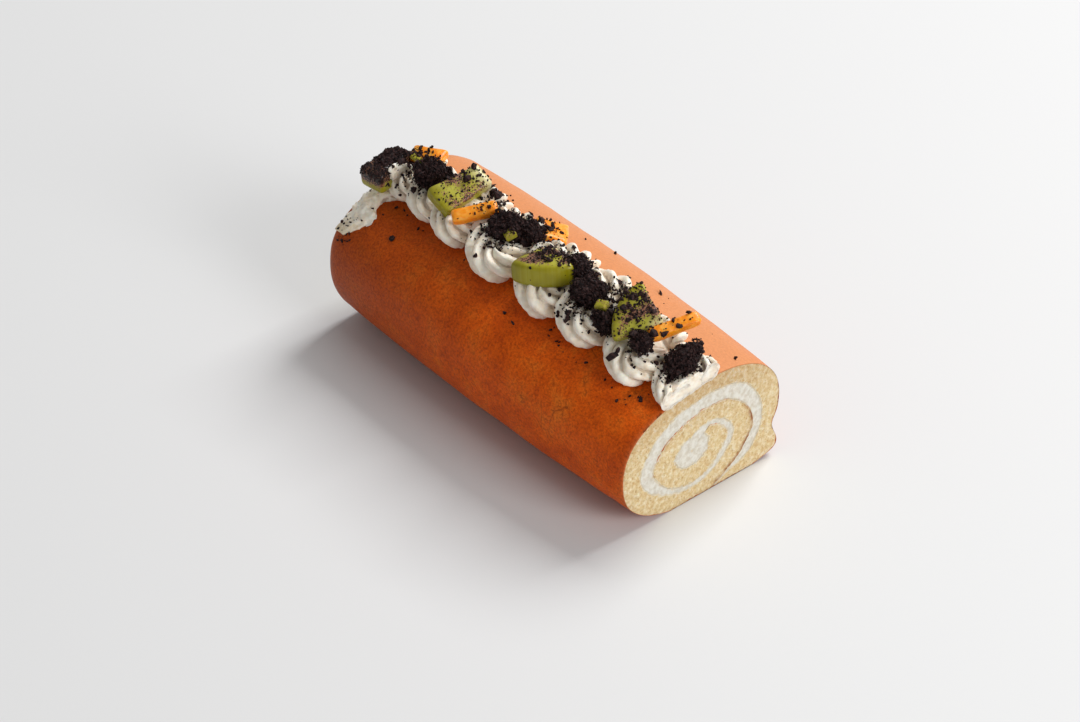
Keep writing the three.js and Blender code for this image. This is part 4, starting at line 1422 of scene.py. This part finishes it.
def angular_piece(name, points, faces):
    """A piece of biscuit, shaded flat so that its breaks show."""
    piece = new_piece(name, points, faces, [crumb_material])
    shade_smooth(piece.data, False)
    return piece


print("a crumb:", *(len(part) for part in base_crumb()), "points and faces")

# %% [markdown]
# A heap could be nothing but crumbs, piled by a physics run, but most would never be
# seen. So a heap is a melted lump with crumbs set all over its skin: more of them stand
# up in some places than in others, and a few are much larger than the rest.

# %% Heaps
HEAPS = [  # place and half sizes of each lobe
    [((-64, -8, 78.5), (9, 8.5, 6.5))],
    [((-15, -8.5, 78.5), (8, 8, 6)), ((-5.5, -3, 78), (6, 5, 4.5))],
    [((26.5, -6.8, 78.6), (5.8, 6, 5)), ((39.6, -12, 77.5), (8.2, 7.5, 6))],
    [((55, -16.2, 73.3), (6.8, 5.5, 5.5))],
    [((74.2, -14.6, 73.7), (3.8, 3.8, 5.5))],
    [((87.7, -4.6, 66.6), (5.5, 9.5, 7.5))],
]
HEAP_VOXEL = 0.7  # mm
CRUMBS_PER_VERTEX = 1.9
HEAP_CRUMB, HEAP_SPREAD = 0.29, 0.55  # usual radius in mm, and the spread of its logarithm
PILED, PILE_SIZE = 2.0, 1.7  # mm up, mm across

for number, lobes in enumerate(HEAPS, start=1):
    name = f"biscuit_heap_{number}"
    random = np.random.default_rng(100 + number)
    seeds = (110 + 7 * number + i for i in range(len(lobes)))
    parts = [closed_grid(lobe(at, size, seed)) for (at, size), seed in zip(lobes, seeds)]
    core = new_piece(name, *joined(parts), [crumb_material])
    melt(core, HEAP_VOXEL)
    points, normals = mesh_points(core), mesh_normals(core)
    core_faces = [list(face.vertices) for face in core.data.polygons]
    bpy.data.objects.remove(core)
    chosen = random.integers(0, len(points), int(len(points) * CRUMBS_PER_VERTEX))
    sizes = HEAP_CRUMB * np.exp(HEAP_SPREAD * random.normal(size=len(chosen)))
    places = points[chosen]
    piled = PILED * np.maximum(soft_noise(places, PILE_SIZE, 140 + number), 0)
    lift = random.uniform(-0.4, 0.8, (len(chosen), 1)) + piled[:, None]
    crumbs, crumb_faces = crumbs_at(places + normals[chosen] * lift, sizes, 120 + number)
    points, faces = joined([(points, core_faces), (crumbs, crumb_faces.tolist())])
    piece = angular_piece(name, points, faces)
    onto_cake(piece, "biscuit_crumb", f"crumb_heap_{number}")

# %% [markdown]
# Loose crumbs have fallen over the cream, the fruit and the sponge. Each is dropped
# straight down from above a random place near a heap, and stays on what it meets first.
# Two of the citrus strips are nearly clean, so most crumbs that land there are left out.

# %% Loose crumbs: where they fall
SPRINKLES = [  # x, y, spread along and across, how many, usual radius in mm
    (-85, -12, 3.5, 5, 420, 0.45), (-83, -2, 2.5, 2.5, 70, 0.4), (-77, -7, 3, 5, 200, 0.5),
    (-64, -8, 6.5, 6.5, 200, 0.5), (-48, -3, 5, 5, 180, 0.4), (-45, -16, 4, 3, 40, 0.4),
    (-34, 3, 4, 3, 130, 0.5), (-24, -13.5, 4, 4, 60, 0.45), (-15, -8, 7, 6, 200, 0.5),
    (-10, -14, 3, 3, 80, 0.5), (-9, 2, 5, 5, 260, 0.5), (15, -11, 6, 4, 360, 0.38),
    (19, -1.5, 6, 3, 160, 0.5), (30, -6, 4, 4, 120, 0.5), (48, -5, 5, 5, 380, 0.5),
    (41, -21, 5, 4, 130, 0.5), (64, -9, 5, 5, 260, 0.45), (77, -16, 5, 5, 50, 0.45),
    (89, -5, 6, 7, 180, 0.5), (-89, -38, 3, 3, 60, 0.35), (0, -8, 70, 8, 150, 0.4),
    (10, 14, 60, 10, 40, 0.4),
]
WIPED = ("citrus_strip_2", "citrus_strip_4")
WIPED_SHARE = 0.93
ABOVE = 200  # mm, higher than everything
UNDER_CREAM = 45  # mm, below the lowest cream on top
FRONT_OF_CREAM = -28  # y
RIM_OF_SMEAR = -82  # x: only there does the cream reach further to the front

graph = bpy.context.evaluated_depsgraph_get()
grounds = {piece.name: BVHTree.FromObject(piece, graph) for piece in [sponge, *swirls, *fruit]}


def dropped(x, y):
    """Where a crumb let fall over (x, y) lands, in millimetres, or None past the cake."""
    start, down = Vector((x, y, ABOVE)) * MM, Vector((0, 0, -1))
    hits = {name: ground.ray_cast(start, down)[0] for name, ground in grounds.items()}
    heights = {name: hit.z for name, hit in hits.items() if hit is not None}
    if not heights:
        return None
    top = max(heights, key=heights.get)
    chance = hashed(np.array([[int(x * 50), int(y * 50), 1]]), 5)[0]
    return None if top in WIPED and chance < WIPED_SHARE else (x, y, heights[top] / MM)


def on_cream(x, y):
    """Whether a place in the plan is over the cream on top and within the cake's ends."""
    return abs(x) < END - 1 and (y > FRONT_OF_CREAM or x < RIM_OF_SMEAR)


random = np.random.default_rng(7)
places, sizes = [], []
for x, y, along_x, along_y, count, size in SPRINKLES:
    xs, ys = random.normal(x, along_x, count), random.normal(y, along_y, count)
    for px, py, pull in zip(xs, ys, random.normal(size=count)):
        landed = dropped(px, py) if on_cream(px, py) else None
        if landed and landed[2] > UNDER_CREAM:
            places.append(landed)
            sizes.append(size * math.exp(0.5 * pull))
print("crumbs that fell on the cream, the fruit and the sponge:", len(places))

# %% [markdown]
# A few larger crumbs lie by themselves on the skin, each at its own place. The sides of
# the first wedge are too steep to catch what falls, but they are wet, so crumbs stick
# to them above an uneven line.

# %% Loose crumbs
SKIN_CRUMBS = [  # x, y, radius
    (-63.4, -30.9, 1.8), (15.2, -30.9, 1.2), (8.5, -29.5, 0.9), (90.3, 21.7, 1.2),
    (40.9, 26.9, 1.3), (28, 19.5, 1.5), (6.2, 33, 1.2), (76.3, -29.1, 1.0), (83.6, -23, 1.4),
    (-82.2, -32.3, 1.3), (68.5, -21.9, 1.4),
]
RAISED = 0.35  # of its radius that a crumb's middle lies above the ground
STUCK = 600  # crumbs on the sides of the first wedge
STUCK_ABOVE, STUCK_WAVE = 72.5, 2  # mm up

for x, y, size in SKIN_CRUMBS:
    places.append(dropped(x, y))
    sizes.append(size)
places, sizes = np.array(places), np.array(sizes)
places[:, 2] += RAISED * sizes
sides = mesh_points(fruit[0])
sides = sides[sides[:, 2] > STUCK_ABOVE + STUCK_WAVE * soft_noise(sides, 5, 61)]
places = np.concatenate([places, sides[random.integers(0, len(sides), STUCK)]])
sizes = np.append(sizes, 0.45 * np.exp(0.4 * random.normal(size=STUCK)))
loose = angular_piece("loose_crumbs", *crumbs_at(places, sizes, 131))
onto_cake(loose, "biscuit_crumb")
